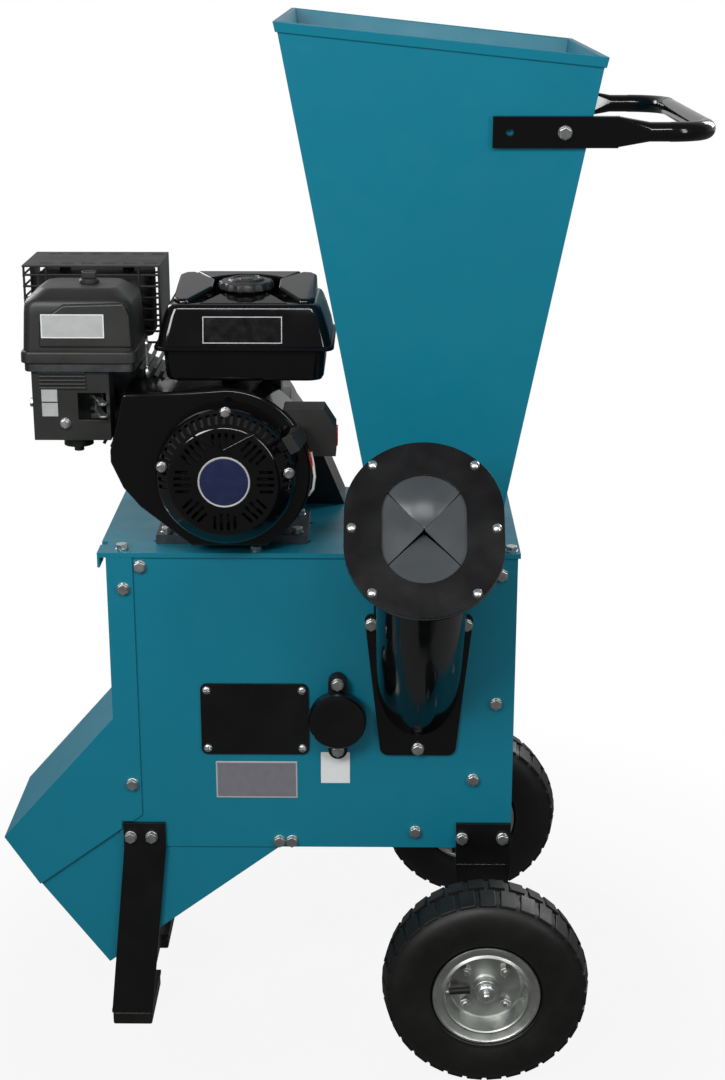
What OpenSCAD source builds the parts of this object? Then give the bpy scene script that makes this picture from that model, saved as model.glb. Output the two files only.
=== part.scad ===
// Petrol garden shredder on two wheels, with a feed hopper, a branch chute and a discharge hood.
// x runs right from the body's left edge, y runs back from the front panel, z runs up from the ground.
// at_origin() then shifts every piece so that the origin lies under the middle of the whole machine.

/* [Body] */
// Width of the sheet body
body_w = 504; // [490:1:540]
// Depth of the sheet body, front panel to rear cover
body_d = 284; // [278:1:310]
// Depth of the cutting chamber at the front of the body
chamber_d = 175; // [170:1:180]
// Height of the body's lower edge above the ground
body_low = 263; // [258:1:280]
// Height of the body's sides
body_h = 395; // [385:1:420]
// Thickness of the body's sheet
sheet = 2.5; // [1.5:0.1:3]

/* [Deck] */
// Thickness of the deck plate
deck_t = 6; // [4:0.5:8]
// Reach of the deck past the body on the left
deck_over = 13; // [8:1:20]
// Depth of the turned-down lip on the deck's left edge
deck_lip = 13; // [8:1:20]
// Reach of the deck past the body at the front and back
deck_edge = 3; // [1:0.5:6]

/* [Hopper] */
// Left edge of the hopper's throat
throat_x = 333; // [325:1:345]
// Front edge of the hopper's throat
throat_y = 20; // [14:1:24]
// Width of the throat
throat_w = 143; // [125:1:150]
// Depth of the throat
throat_d = 145; // [120:1:146]
// Height of the hopper above the deck on its left side
hopper_h = 630; // [560:1:680]
// Fall of the rim from left to right
rim_fall = 38; // [0:1:60]
// Flare of the left wall from throat to rim
flare_left = 114; // [80:1:130]
// Flare of the right wall over the same height
flare_right = 111; // [80:1:130]
// Flare of the front wall
flare_front = 90; // [60:1:95]
// Flare of the rear wall
flare_rear = 191; // [120:1:200]
// Thickness of the hopper's sheet
hopper_t = 3; // [2:0.5:5]
// Width of the hopper's foot flanges
hopper_foot = 17; // [12:1:17]

/* [Discharge] */
// Height where the hood's slope leaves the body's left side
hood_z = 443; // [425:1:470]
// Reach of the hood's tip to the left of the body
hood_reach = 150; // [120:1:180]
// Height of the hood's tip
hood_tip_z = 276; // [265:1:290]
// Reach of the seam between hood and trough at the mouth
mouth_reach = 107; // [95:1:115]
// Height of that seam at the mouth
mouth_z = 208.5; // [200:0.5:215]
// Reach of the trough's tip to the left of the body
trough_reach = 21.5; // [10:0.5:30]
// Height of the trough's tip
trough_z = 91.6; // [80:0.2:100]
// Where the trough's floor meets the body's lower edge
trough_end = 207.5; // [190:0.5:215]
// Width of the hood's cheek over the front panel
cheek_w = 30; // [26:1:34]

/* [Branch chute] */
// Distance of the chute's axis to the right of the rotor's axis
chute_off = 101; // [96:1:108]
// Height where the chute's axis meets the front panel
chute_z = 550; // [545:1:552]
// Slope of the chute
chute_slope = 45; // [43:1:46]
// Length of the chute along its axis, up to the flange's face
chute_l = 298; // [280:1:320]
// Width of the chute tube
tube_w = 100; // [90:1:104]
// Height of the chute tube's section
tube_h = 136; // [120:1:138]
// Wall of the chute tube
tube_wall = 2.5; // [2:0.5:4]
// Width of the chute's flange
flange_w = 177; // [170:1:190]
// Height of the chute's flange
flange_h = 217; // [212:1:230]
// Thickness of the flange, the rubber sheet and the clamp ring, each
flange_t = 3; // [2:0.5:4]
// Half the width of the slit area in the rubber
slit_x = 38.5; // [34:0.5:39]
// Half the height of the slit area in the rubber
slit_y = 43; // [38:0.5:44]
// Width of the slits between the flaps
slit_gap = 1; // [0.8:0.1:1.5]
// Width of the uncut corners between the flaps' roots
slit_corner = 10; // [9:0.5:14]

/* [Handle] */
// Outer diameter of the handle's tube
handle_d = 22; // [18:1:25]
// Distance of the handle below the rim's right end
handle_drop = 80; // [66:1:106]
// Right end of the handle
handle_end = 712; // [690:1:740]
// Left end of the flattened straps
strap_x = 458; // [450:1:470]
// Length of the flattened straps
strap_l = 140; // [135:1:145]
// Height of the flattened straps
strap_h = 35; // [30:1:38]
// Thickness of the flattened straps
strap_t = 5; // [4:0.5:7]
// Distance from the strap's end to its empty hole
strap_hole = 19; // [16:1:24]
// Distance from the empty hole to the bolt
strap_pitch = 61; // [55:1:65]
// Radius of the handle's bends
handle_bend = 45; // [35:1:60]

/* [Stand] */
// Width of a leg
leg_w = 54; // [48:1:58]
// Thickness of the leg plates
leg_t = 5; // [4:0.5:6]
// Sideways lean of a leg from top to bottom
leg_lean = 26; // [15:1:30]
// Depth of a leg's foot plate
foot_d = 100; // [80:1:120]
// Height of the rubber feet
foot_h = 18; // [12:1:24]
// Height of the cross plate's upper edge
cross_z = 112; // [80:1:115]

/* [Wheels] */
// Outer diameter of the tyres
tyre_d = 260; // [250:1:266]
// Width of the tyres
tyre_w = 85; // [75:1:90]
// Outer diameter of the rims
rim_d = 130; // [120:1:140]
// Distance between the wheels' middle planes
track = 486; // [480:1:510]
// Distance of the axle from the body's right side
axle_in = 35.5; // [30:0.5:44]
// Diameter of the axle
axle_d = 20; // [16:1:25]
// Width of the axle brackets
bracket_w = 70; // [60:1:70]

/* [Rotor] */
// Distance of the rotor's axis to the right of the body's middle
rotor_off = 30; // [26:1:36]
// Height of the rotor's axis
rotor_z = 450; // [445:1:455]
// Diameter of the rotor disc
disc_d = 320; // [300:1:340]
// Thickness of the rotor disc
disc_t = 10; // [8:1:14]
// Distance from the front panel to the disc
disc_y = 52; // [46:1:58]
// Diameter of the rotor shaft
shaft_d = 20; // [18:1:25]
// Bolt spacing of the flange bearings
bearing_pitch = 90; // [86:1:96]
// Diameter of the round bearing cap
bearing_cap_d = 72; // [68:1:74]
// Pitch diameter of the rotor's pulley
rotor_pulley_d = 120; // [110:1:125]

/* [Engine] */
// Place of the crankshaft across the body
crank_x = 150; // [146:1:154]
// Height of the crankshaft above the deck
crank_h = 106; // [104:1:110]
// Diameter of the crankshaft
crank_d = 20; // [18:0.5:24]
// Reach of the recoil cover in front of the front panel
starter_reach = 55; // [52:1:60]
// Radius of the blower housing round the crankshaft
blower_r = 102; // [98:1:103]
// Radius of the recoil cover
recoil_r = 84; // [80:1:88]
// Diameter of the flywheel
flywheel_d = 150; // [130:1:154]
// Pitch diameter of the engine's pulley
engine_pulley_d = 85; // [75:1:90]
// Width of the fuel tank at its seam
tank_w = 214; // [205:1:220]
// Depth of the fuel tank at its seam
tank_d = 151; // [140:1:155]
// Height of the fuel tank without its raised panels
tank_h = 97; // [90:1:103]
// Diameter of the fuel cap
fuel_cap_d = 66; // [60:1:72]
// Width of the air cleaner cover
cleaner_w = 139; // [130:1:142]
// Depth of the air cleaner cover
cleaner_d = 124; // [115:1:126]
// Height of the air cleaner cover
cleaner_h = 86; // [78:1:92]
// Width of the muffler guard
guard_w = 170; // [160:1:176]
// Depth of the muffler guard
guard_d = 106; // [100:1:110]
// Height of the muffler guard
guard_h = 100; // [92:1:108]

/* [Belt] */
// Width of the drive belt
belt_w = 13; // [10:1:17]
// Thickness of the drive belt
belt_t = 8; // [6:0.5:10]

/* [Fasteners and fits] */
// Thread diameter of the hex bolts
bolt_d = 8; // [6:1:10]
// Width across the flats of the hex bolts
bolt_af = 13; // [12:0.5:17]
// Diameter of the cover screws' heads
screw_head = 11; // [8:0.5:12]
// Radial gap between a bolt and its hole
bolt_gap = 0.3; // [0.2:0.1:1]
// Radial running gap of shafts and pivots
run_gap = 0.06; // [0.03:0.01:0.1]
// Gap between pieces that must not rub
clear_gap = 0.5; // [0.4:0.1:1]

/* [Hidden] */
$fn = 48;
teal = "#17798f";
black = "#1a1a1c";
steel = "#b4b8bb";
rubber = "#2b2d2f";
grey = "#55585c";
body_top = body_low + body_h;
deck_z = body_top + deck_t;
crank_z = deck_z + crank_h;
rotor_x = body_w / 2 + rotor_off;
chute_x = rotor_x + chute_off;
axle_x = body_w - axle_in;
wheel_y = (body_d - track) / 2;
axle_z = tyre_d / 2;
bolt_hole = bolt_d + 2 * bolt_gap;
bolt_head = 0.65 * bolt_d;
washer_t = 1.6;
plate_t = 4;

// Chute stack: flange, rubber sheet and clamp ring end at these distances along the axis
rubber_s = chute_l;
ring_s = rubber_s + flange_t;
ring_end = ring_s + flange_t;
screw_h = 2.5;
screw_thread = 4;
screw_hole = screw_thread + 2 * bolt_gap;

// The machine's reach, which gives the origin
left_end = -hood_reach;
front_end = -(flange_h / 2 * cos(chute_slope) + ring_end * sin(chute_slope));
back_end = body_d - wheel_y + tyre_w / 2;
mid_x = (left_end + handle_end) / 2;
mid_y = (front_end + back_end) / 2;

// Fastener places on the front panel, as [x, z]
panel_bolts = [[39, body_top - 12], [206, body_low + 9], [222, body_low + 9], [body_w - 123, body_low + 23],
    [body_w - 50, body_low + 97], [body_w - 23, body_low + 202], [body_w - 19.5, body_top - 22]];
cheek_bolts = [[18, body_top - 40], [19, body_low + 90]];
leg_bolts = [[14, body_low + 16], [41, body_low + 16]];
bracket_bolts = [[axle_x - 27.5, body_low + 16], [axle_x + 24.5, body_low + 16]];
chute_low = chute_z - 155;
chute_bolts = [[chute_x - tube_w / 2 - 9, chute_z + 22], [chute_x + tube_w / 2 + 9, chute_z + 22],
    [chute_x, chute_low + 9]];
// Half the width of the chute's base plate at its bolts, and beside the tube's upper end
plate_half = tube_w / 2 + 18;
neck_half = tube_w / 2 + 6;
rear_bolts = [[20, body_top - 20], [body_w - 20, body_top - 20], [body_w / 2, body_top - 20],
    [body_w / 2, body_low + 16]];
deck_bolts = [[16, 14], [182, 10], [body_w - 8, 10], [body_w - 8, body_d - 40], [16, body_d - 24]];
// Inspection plate
cover_t = 3;
plate_w = 136;
plate_h = 96;
plate_x = rotor_x - 105;
plate_z = body_low + 180;
plate_screws = [for (i = [-1, 1], j = [-1, 1]) [plate_x + i * 60, plate_z + j * 39.5]];
// Clamp ring's opening, and its screws in the ring's own plane
ring_w = tube_w - 2 * tube_wall - 1;
ring_h = tube_h - 2 * tube_wall + 3;
ring_screws = [[-80, 0], [80, 0], [-57, 79], [57, 79], [-57, -79], [57, -79]];
// Uncut corners of the rubber between the flaps, in proportion to the slit area
corner_x = slit_corner - slit_gap / 2;
corner_y = slit_corner * slit_y / slit_x - slit_gap / 2;
// Engine base bolts: the usual 162 by 76 pattern
engine_bolts = [for (i = [-81, 81], j = [45, 121]) [crank_x + i, j]];
slot_l = 34;

// Belt drive plane, counted from the engine block's rear face, and pulley sizes
groove_w = belt_w + 2 * clear_gap;
pulley_w = groove_w + 8;
block_end = 205;
pulley_gap = 16;
belt_y = block_end + pulley_gap + pulley_w / 2;
pulley_lip = 5;
shaft_end = belt_y + pulley_w / 2 + 10;
notch_w = 142;

// Bearing housing
bearing_t = 12;
bearing_boss_d = 58;
bearing_boss_h = 26;
bearing_lug_r = 12;
cap_wall = 2.5;
cap_h = bearing_boss_h + 5;
shaft_front = -bearing_boss_h + 2;

// Hopper wall places at a height z
function grow(z, flare) = flare * (z - deck_z) / hopper_h;
function hop_left(z) = throat_x - grow(z, flare_left);
function hop_right(z) = throat_x + throat_w + grow(z, flare_right);
function hop_front(z) = throat_y - grow(z, flare_front);
function hop_rear(z) = throat_y + throat_d + grow(z, flare_rear);
rim_left = deck_z + hopper_h;
rim_right = rim_left - rim_fall;
handle_z = rim_right - handle_drop;

// Handle arms lie on the hopper's front and rear walls
front_lean = atan(flare_front / hopper_h);
rear_lean = atan(flare_rear / hopper_h);
arm_front = hop_front(handle_z) - clear_gap;
arm_rear = hop_rear(handle_z) + clear_gap;
front_axis = arm_front - strap_t / 2;
rear_axis = arm_rear + strap_t / 2;
taper_l = 34;
bend_swell = 0.3;
round_x = strap_x + strap_l + taper_l;
bar_x = handle_end - handle_d / 2;
bolt_arm_x = strap_x + strap_hole + strap_pitch;

// Stand and axle
leg_x = 5;
leg_top = body_low + 35;
foot_x = leg_x - leg_lean;
bracket_top = body_low + 36;
bracket_neck = body_low - 24;
hub_l = 56;
hub_wall = 6;
collar_l = 8;
axle_tip = 4;

// Engine places
starter_y = -starter_reach;
blower_y = -12;
block_y = 70;
block_top = deck_z + 160;
base_t = 12;
cylinder_y = (block_y + block_end) / 2 - 2;
cylinder_lean = 25;
barrel_w = 92;
fin_w = 116;
head_w = 100;
head_l = 150;
blower_wall = 2.5;
tank_x = crank_x + 22;
tank_y = -5;
tank_z = deck_z + 213;
seam_z = tank_z + 41;
cleaner_x = crank_x - 172;
cleaner_y = -18;
cleaner_z = deck_z + 239;
tray_t = 10;
stud_x = cleaner_x + 8;
stud_y = cleaner_y + cleaner_d / 2;
stud_d = 6;
cleaner_top = cleaner_z + cleaner_h;
guard_x = crank_x - 173;
guard_y = 112;
guard_z = deck_z + 234;
guard_wall = 2;
muffler_gap = 14;
pipe_x = crank_x - 140;
carb_x = crank_x - 175;
carb_y = 32;
carb_z = deck_z + 156;
lever_x = carb_x + 16;
lever_y = 22;
lever_l = 42;
lever_w = 8;
lever_t = 3;
throttle_l = 34;
lever_pin_d = 6;
lever_turn = 20;
choke_z = deck_z + 190;
fuel_z = deck_z + 175;
throttle_x = crank_x - 97;
throttle_y = 20;
throttle_z = deck_z + 222;
switch_x = crank_x + 131;
switch_z = deck_z + 152;
rocker_pin = 4;
rocker_w = 18;
rocker_y = 15;
rocker_z = switch_z - 7;
post_d = 18;
reel_y = starter_y + 9;
reel_w = 18;
reel_d = 104;
grip_x = crank_x + 78;
grip_z = crank_z + 45;
grip_y = starter_y + 16;
grip_angle = 30;
grip_out = 10;
guide_l = 13;
guide_d = 16;
rope_d = 5;

module at_origin() {
    translate([-mid_x, -mid_y, 0]) children();
}

// A plate from y to y + t, with its outline drawn in x and z
module plate_xz(y, t) {
    translate([0, y + t, 0]) rotate([90, 0, 0]) linear_extrude(t) children();
}

// A round bar along y
module bar_y(x, y, z, d, l) {
    translate([x, y, z]) rotate([-90, 0, 0]) cylinder(d = d, h = l);
}

// A turned shape about an axis along y, with its outline drawn in radius and y
module turned_y(x, y, z) {
    translate([x, y, z]) rotate([-90, 0, 0]) rotate_extrude($fn = 96) children();
}

module holes(places, d) {
    for (p = places) translate(p) circle(d = d);
}

module rounded(w, h, r) {
    square([w - 2 * r, h], center = true);
    square([w, h - 2 * r], center = true);
    for (i = [-1, 1], j = [-1, 1]) translate([i * (w / 2 - r), j * (h / 2 - r)]) circle(r);
}

module stadium(w, h) {
    square([w, h - w], center = true);
    for (j = [-1, 1]) translate([0, j * (h - w) / 2]) circle(d = w);
}

// Body

module front_panel() {
    at_origin() color(teal) difference() {
        plate_xz(0, sheet) difference() {
            translate([0, body_low]) square([body_w, body_h]);
            holes(panel_bolts, bolt_hole);
            holes(cheek_bolts, bolt_hole);
            holes(leg_bolts, bolt_hole);
            holes(bracket_bolts, bolt_hole);
            holes(chute_bolts, bolt_hole);
            holes(bearing_places(), bolt_hole);
            translate([rotor_x, rotor_z]) circle(d = shaft_d + 12);
            translate([plate_x, plate_z]) rounded(plate_w - 30, plate_h - 30, 6);
            holes(plate_screws, screw_hole);
        }
        chute_bore();
    }
}

module body_wrap() {
    inside_d = body_d - 2 * sheet;
    at_origin() color(teal) {
        translate([trough_end, sheet, body_low]) cube([body_w - trough_end, inside_d, sheet]);
        translate([body_w - sheet, sheet, body_low]) cube([sheet, inside_d, body_h]);
    }
}

module partition_wall() {
    at_origin() color(teal) plate_xz(chamber_d - sheet, sheet) difference() {
        translate([0, body_low + sheet]) square([body_w - sheet, body_h - sheet]);
        translate([rotor_x, rotor_z]) circle(d = shaft_d + 12);
        holes(bearing_places(), bolt_hole);
    }
}

module rear_cover() {
    room_y = chamber_d + sheet + clear_gap;
    room_d = body_d - room_y;
    at_origin() color(teal) {
        plate_xz(body_d - sheet, sheet) difference() {
            translate([0, body_low]) square([body_w, body_h]);
            holes(rear_bolts, bolt_hole);
            holes(leg_bolts, bolt_hole);
            holes(bracket_bolts, bolt_hole);
        }
        translate([0, room_y, body_low]) cube([sheet, room_d, body_h]);
        translate([0, room_y, body_low]) cube([trough_end, room_d, sheet]);
    }
}

module deck() {
    full_w = body_w + deck_over + deck_edge;
    full_d = body_d + 2 * deck_edge;
    notch_x = crank_x - 25;
    notch_d = pulley_w + 26;
    gap_y = 30;
    gap_d = 12;
    lip_t = deck_t / 2;
    lip_z = body_top - deck_lip;
    at_origin() color(teal) {
        translate([0, 0, body_top]) linear_extrude(deck_t) difference() {
            translate([-deck_over, -deck_edge]) square([full_w, full_d]);
            translate([throat_x, throat_y]) square([throat_w, throat_d]);
            translate([notch_x, belt_y - notch_d / 2]) square([notch_w, notch_d]);
            translate([-deck_over - 1, gap_y]) square([lip_t + 6, gap_d]);
            holes(deck_bolts, bolt_hole);
            for (p = engine_bolts) translate(p) rotate(90) stadium(bolt_hole, slot_l);
        }
        translate([-deck_over, -deck_edge, lip_z]) cube([lip_t, gap_y + deck_edge, deck_lip]);
        translate([-deck_over, gap_y + gap_d, lip_z])
            cube([lip_t, body_d + deck_edge - gap_y - gap_d, deck_lip]);
    }
}

// Hood: a folded strip between two cheeks
module hood_cheek() {
    polygon([[-sheet, body_top], [cheek_w, body_top], [cheek_w, body_low + 46],
        [-mouth_reach, mouth_z], [-hood_reach, hood_tip_z], [-sheet, hood_z]]);
}

module discharge_hood() {
    fold = 1.2 * sheet;
    at_origin() color(teal) {
        plate_xz(-sheet, sheet) difference() {
            hood_cheek();
            holes(cheek_bolts, bolt_hole);
            offset_leg(2);
        }
        plate_xz(chamber_d, sheet) hood_cheek();
        plate_xz(-sheet, chamber_d + 2 * sheet) polygon([[-sheet, body_top], [0, body_top],
            [0, hood_z - fold / 2], [-hood_reach + fold, hood_tip_z - fold / 2], [-hood_reach, hood_tip_z],
            [-sheet, hood_z]]);
    }
}

// Trough: a sloping floor between two cheeks, tucked inside the body
module discharge_trough() {
    rise = (body_low - trough_z) / (trough_end + trough_reach);
    lap = 14;
    lap_z = body_low + 34;
    at_origin() color(teal) {
        for (y = [sheet, chamber_d - 2 * sheet]) plate_xz(y, sheet) difference() {
            polygon([[-trough_reach, trough_z], [-mouth_reach, mouth_z], [-mouth_reach + lap, mouth_z + lap],
                [2, lap_z], [trough_end, lap_z], [trough_end, body_low]]);
            holes(leg_bolts, bolt_hole);
            holes(panel_bolts, bolt_hole);
        }
        plate_xz(sheet, chamber_d - 2 * sheet) polygon([[-trough_reach, trough_z], [trough_end, body_low],
            [trough_end - sheet * sin(atan(rise)), body_low + sheet * cos(atan(rise))],
            [-trough_reach - sheet * sin(atan(rise)), trough_z + sheet * cos(atan(rise))]]);
    }
}

// Hopper: four mitred walls, each with a foot flange on the deck

// A flat-sided wall between an outer and an inner quadrilateral, each listed bottom, bottom, top, top
module wall(outer, inner) {
    polyhedron(points = concat(outer, inner), faces = [[2, 1, 0], [3, 2, 0], [4, 5, 6], [4, 6, 7],
        [4, 0, 1], [4, 1, 5], [5, 1, 2], [5, 2, 6], [6, 2, 3], [6, 3, 7], [7, 3, 0], [7, 0, 4]]);
}

// Corners of the hopper at a wall depth t: i and j pick left or right, front or rear
function hop_corner(i, j, z, t) = [i == 0 ? hop_left(z) + t : hop_right(z) - t,
    j == 0 ? hop_front(z) + t : hop_rear(z) - t, z];
function rim(i) = i == 0 ? rim_left : rim_right;
// Wall between two corners, taken anticlockwise seen from outside
function hop_quad(a, b, t) = [hop_corner(a[0], a[1], deck_z, t), hop_corner(b[0], b[1], deck_z, t),
    hop_corner(b[0], b[1], rim(b[0]), t), hop_corner(a[0], a[1], rim(a[0]), t)];

module hopper_wall(a, b) {
    wall(hop_quad(a, b, 0), hop_quad(a, b, hopper_t));
}

module hopper_front() {
    at_origin() color(teal) {
        difference() {
            hopper_wall([0, 0], [1, 0]);
            arm_bolt_hole();
        }
        translate([throat_x, throat_y - hopper_foot, deck_z]) cube([throat_w, hopper_foot, hopper_t]);
    }
}

module hopper_rear() {
    at_origin() color(teal) {
        difference() {
            hopper_wall([1, 1], [0, 1]);
            arm_bolt_hole();
        }
        translate([throat_x, throat_y + throat_d, deck_z]) cube([throat_w, hopper_foot, hopper_t]);
    }
}

module hopper_left() {
    at_origin() color(teal) {
        hopper_wall([0, 1], [0, 0]);
        translate([throat_x - hopper_foot, throat_y, deck_z]) cube([hopper_foot, throat_d, hopper_t]);
    }
}

module hopper_right() {
    at_origin() color(teal) {
        hopper_wall([1, 0], [1, 1]);
        translate([throat_x + throat_w, throat_y, deck_z]) cube([hopper_foot, throat_d, hopper_t]);
    }
}

// Handle

// Moves to the handle's arm on the front wall, or on the rear wall, tilted to lie flat on it
module front_arm() {
    translate([0, arm_front, handle_z]) rotate([front_lean, 0, 0]) children();
}

module rear_arm() {
    translate([0, arm_rear, handle_z]) rotate([-rear_lean, 0, 0]) mirror([0, 1, 0]) children();
}

module arm_bolt_hole() {
    front_arm() bar_y(bolt_arm_x, -20, 0, bolt_hole, 60);
    rear_arm() bar_y(bolt_arm_x, -20, 0, bolt_hole, 60);
}

module strap() {
    plate_xz(-strap_t, strap_t) difference() {
        translate([strap_x, -strap_h / 2]) square([strap_l, strap_h]);
        translate([strap_x + strap_hole, 0]) circle(d = bolt_hole);
        translate([bolt_arm_x, 0]) circle(d = bolt_hole);
    }
}

// The flattened end of the tube swells to its round section
module taper(y, lean) {
    lap = 2;
    hull() {
        translate([strap_x + strap_l - lap, y, handle_z]) rotate([lean, 0, 0])
            cube([1, strap_t - 0.6, strap_h - 1], center = true);
        translate([round_x, y, handle_z]) rotate([0, 90, 0])
            cylinder(d = handle_d - 4 * bend_swell, h = lap, $fn = 32);
    }
}

// A quarter of a ring, from +x round to +y, whose ends lap over the straight tube
module quarter_bend() {
    lap = 1;
    intersection() {
        rotate(225) rotate_extrude() translate([handle_bend, 0]) circle(d = handle_d);
        translate([-lap, -lap, -handle_d]) cube([2 * handle_bend, 2 * handle_bend, 2 * handle_d]);
    }
}

module push_handle() {
    straight = bar_x - handle_bend - round_x;
    tube_d = handle_d - 2 * bend_swell;
    at_origin() color(black) {
        front_arm() strap();
        rear_arm() strap();
        taper(front_axis, front_lean);
        taper(rear_axis, -rear_lean);
        for (y = [front_axis, rear_axis]) translate([round_x, y, handle_z]) rotate([0, 90, 0])
            cylinder(d = tube_d, h = straight);
        translate([bar_x - handle_bend, front_axis + handle_bend, handle_z]) mirror([0, 1, 0]) quarter_bend();
        translate([bar_x - handle_bend, rear_axis - handle_bend, handle_z]) quarter_bend();
        bar_y(bar_x, front_axis + handle_bend, handle_z, tube_d, rear_axis - front_axis - 2 * handle_bend);
    }
}

// Stand

module leg_outline() {
    polygon([[leg_x, leg_top], [leg_x + leg_w, leg_top], [leg_x + leg_w, body_low],
        [leg_x + leg_w - leg_lean, foot_h], [foot_x, foot_h], [leg_x, body_low]]);
}

// The leg's outline with room round it
module offset_leg(room) {
    translate([leg_x - room, body_low - 100]) square([leg_w + 2 * room, leg_top - body_low + 100 + room]);
}

module leg_stand() {
    cross_x = leg_x + leg_w / 2 - leg_lean / 2;
    at_origin() color(black) {
        for (y = [-leg_t, body_d]) plate_xz(y, leg_t) difference() {
            leg_outline();
            holes(leg_bolts, bolt_hole);
        }
        for (y = [-leg_t, body_d + leg_t - foot_d]) translate([foot_x, y, foot_h])
            cube([leg_w, foot_d, leg_t]);
        translate([cross_x, -leg_t / 2, foot_h]) cube([leg_t, body_d + leg_t, cross_z - foot_h]);
    }
}

module rubber_feet() {
    at_origin() color(rubber) for (y = [-leg_t, body_d + leg_t - foot_d])
        translate([foot_x + 1, y, 0]) cube([leg_w - 2, foot_d, foot_h]);
}

// Wheels and axle

module bracket_outline() {
    half = bracket_w / 2;
    low = axle_z - axle_d - 4;
    polygon([[axle_x - half, bracket_top], [axle_x + half, bracket_top], [axle_x + half, bracket_neck],
        [axle_x + half - 8, low], [axle_x - half + 8, low], [axle_x - half, bracket_neck]]);
}

module axle_brackets() {
    web = 30;
    web_h = bracket_neck - axle_z;
    at_origin() color(black) {
        for (y = [-leg_t, body_d]) plate_xz(y, leg_t) difference() {
            bracket_outline();
            holes(bracket_bolts, bolt_hole);
            translate([axle_x, axle_z]) circle(d = axle_d + 2 * run_gap);
        }
        for (y = [-leg_t, body_d + leg_t - web], i = [-1, 1])
            translate([axle_x + i * (bracket_w / 2 - 10) - leg_t / 2, y, axle_z + axle_d / 2])
                cube([leg_t, web, web_h]);
    }
}

module axle() {
    end = wheel_y - hub_l / 2 - clear_gap - collar_l;
    at_origin() color(steel) {
        bar_y(axle_x, end - axle_tip, axle_z, axle_d, body_d - 2 * end + 2 * axle_tip);
        for (y = [end, wheel_y + hub_l / 2 + clear_gap, body_d - wheel_y - hub_l / 2 - clear_gap - collar_l,
            body_d - end - collar_l]) turned_y(axle_x, y, axle_z) square([axle_d / 2 + hub_wall, collar_l]);
    }
}

// Pneumatic tyre: a round carcass with a flat tread that has a groove round its middle
module tyre(y) {
    half = tyre_w / 2;
    tread = tyre_d / 2;
    seat = rim_d / 2 - 3;
    at_origin() color(rubber) turned_y(axle_x, y, axle_z) difference() {
        polygon([[seat, -half + 18], [seat + 6, -half + 8], [tread - 38, -half], [tread - 16, -half + 3],
            [tread - 5, -half + 12], [tread, -half + 24], [tread, -4], [tread - 5, -3], [tread - 5, 3],
            [tread, 4], [tread, half - 24], [tread - 5, half - 12], [tread - 16, half - 3],
            [tread - 38, half], [seat + 6, half - 8], [seat, half - 18]]);
        polygon([[seat - 1, -half + 22], [seat + 8, -half + 14], [tread - 36, -half + 9],
            [tread - 16, -half + 14], [tread - 12, 0], [tread - 16, half - 14], [tread - 36, half - 9],
            [seat + 8, half - 14], [seat - 1, half - 22]]);
    }
}

// Pressed two-piece rim: flanges, a well, a web and a hub tube
module rim_shape(y) {
    half = tyre_w / 2;
    out = rim_d / 2;
    seat = out - 3 - 0.3;
    t = 2.5;
    bore = axle_d / 2 + run_gap;
    hub = bore + hub_wall;
    at_origin() color(steel) turned_y(axle_x, y, axle_z)
        polygon([[seat, -half + 22], [seat, -half + 16], [seat + 4, -half + 7], [out + 2, -half + 5],
            [out + 2, -half + 3], [seat + 2, -half + 5], [seat - t, -half + 15], [out * 0.62, -t],
            [hub, -t], [hub, -hub_l / 2], [bore, -hub_l / 2], [bore, hub_l / 2], [hub, hub_l / 2],
            [hub, t], [out * 0.62, t], [seat - t, half - 15], [seat + 2, half - 5],
            [out + 2, half - 3], [out + 2, half - 5], [seat + 4, half - 7], [seat, half - 16],
            [seat, half - 22], [out * 0.72, t + 2], [out * 0.72, -t - 2]]);
}

module near_tyre() {
    tyre(wheel_y);
}

module near_rim() {
    rim_shape(wheel_y);
}

module far_tyre() {
    tyre(body_d - wheel_y);
}

module far_rim() {
    rim_shape(body_d - wheel_y);
}

// Branch chute

// Local z runs up along the chute from the front panel, local y runs up across its flange
module chute_axis() {
    translate([chute_x, 0, chute_z]) rotate([chute_slope, 0, 0]) children();
}

module chute_bore() {
    chute_axis() translate([0, 0, -200]) linear_extrude(chute_l + 400)
        stadium(tube_w - 2 * tube_wall, tube_h - 2 * tube_wall);
}

module feed_chute() {
    at_origin() color(black) difference() {
        union() {
            difference() {
                chute_axis() translate([0, 0, -120]) linear_extrude(chute_l + 120) stadium(tube_w, tube_h);
                translate([0, -plate_t, 0]) cube([2 * body_w, body_d, 3 * body_h]);
            }
            chute_axis() translate([0, 0, chute_l - flange_t]) linear_extrude(flange_t) difference() {
                stadium(flange_w, flange_h);
                holes(ring_screws, screw_hole);
            }
            plate_xz(-plate_t, plate_t) difference() {
                polygon([[chute_x - 47, chute_low], [chute_x + 47, chute_low],
                    [chute_x + plate_half, chute_z + 35], [chute_x + neck_half, chute_z + 35],
                    [chute_x + neck_half, chute_z + 102], [chute_x - neck_half, chute_z + 102],
                    [chute_x - neck_half, chute_z + 35], [chute_x - plate_half, chute_z + 35]]);
                holes(chute_bolts, bolt_hole);
            }
        }
        chute_bore();
    }
}

// The rubber sheet's clamped margin, round the slit area
module chute_rubber() {
    at_origin() color(rubber) chute_axis() translate([0, 0, rubber_s]) linear_extrude(flange_t) difference() {
        stadium(flange_w, flange_h);
        difference() {
            square([2 * slit_x, 2 * slit_y], center = true);
            for (i = [-1, 1], j = [-1, 1]) scale([i, j]) translate([slit_x - corner_x, slit_y - corner_y])
                square([corner_x + 1, corner_y + 1]);
        }
        holes(ring_screws, screw_hole);
    }
}

module chute_ring() {
    at_origin() color(black) chute_axis() translate([0, 0, ring_s]) linear_extrude(flange_t) difference() {
        stadium(flange_w, flange_h);
        stadium(ring_w, ring_h);
        holes(ring_screws, screw_hole);
    }
}

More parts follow.
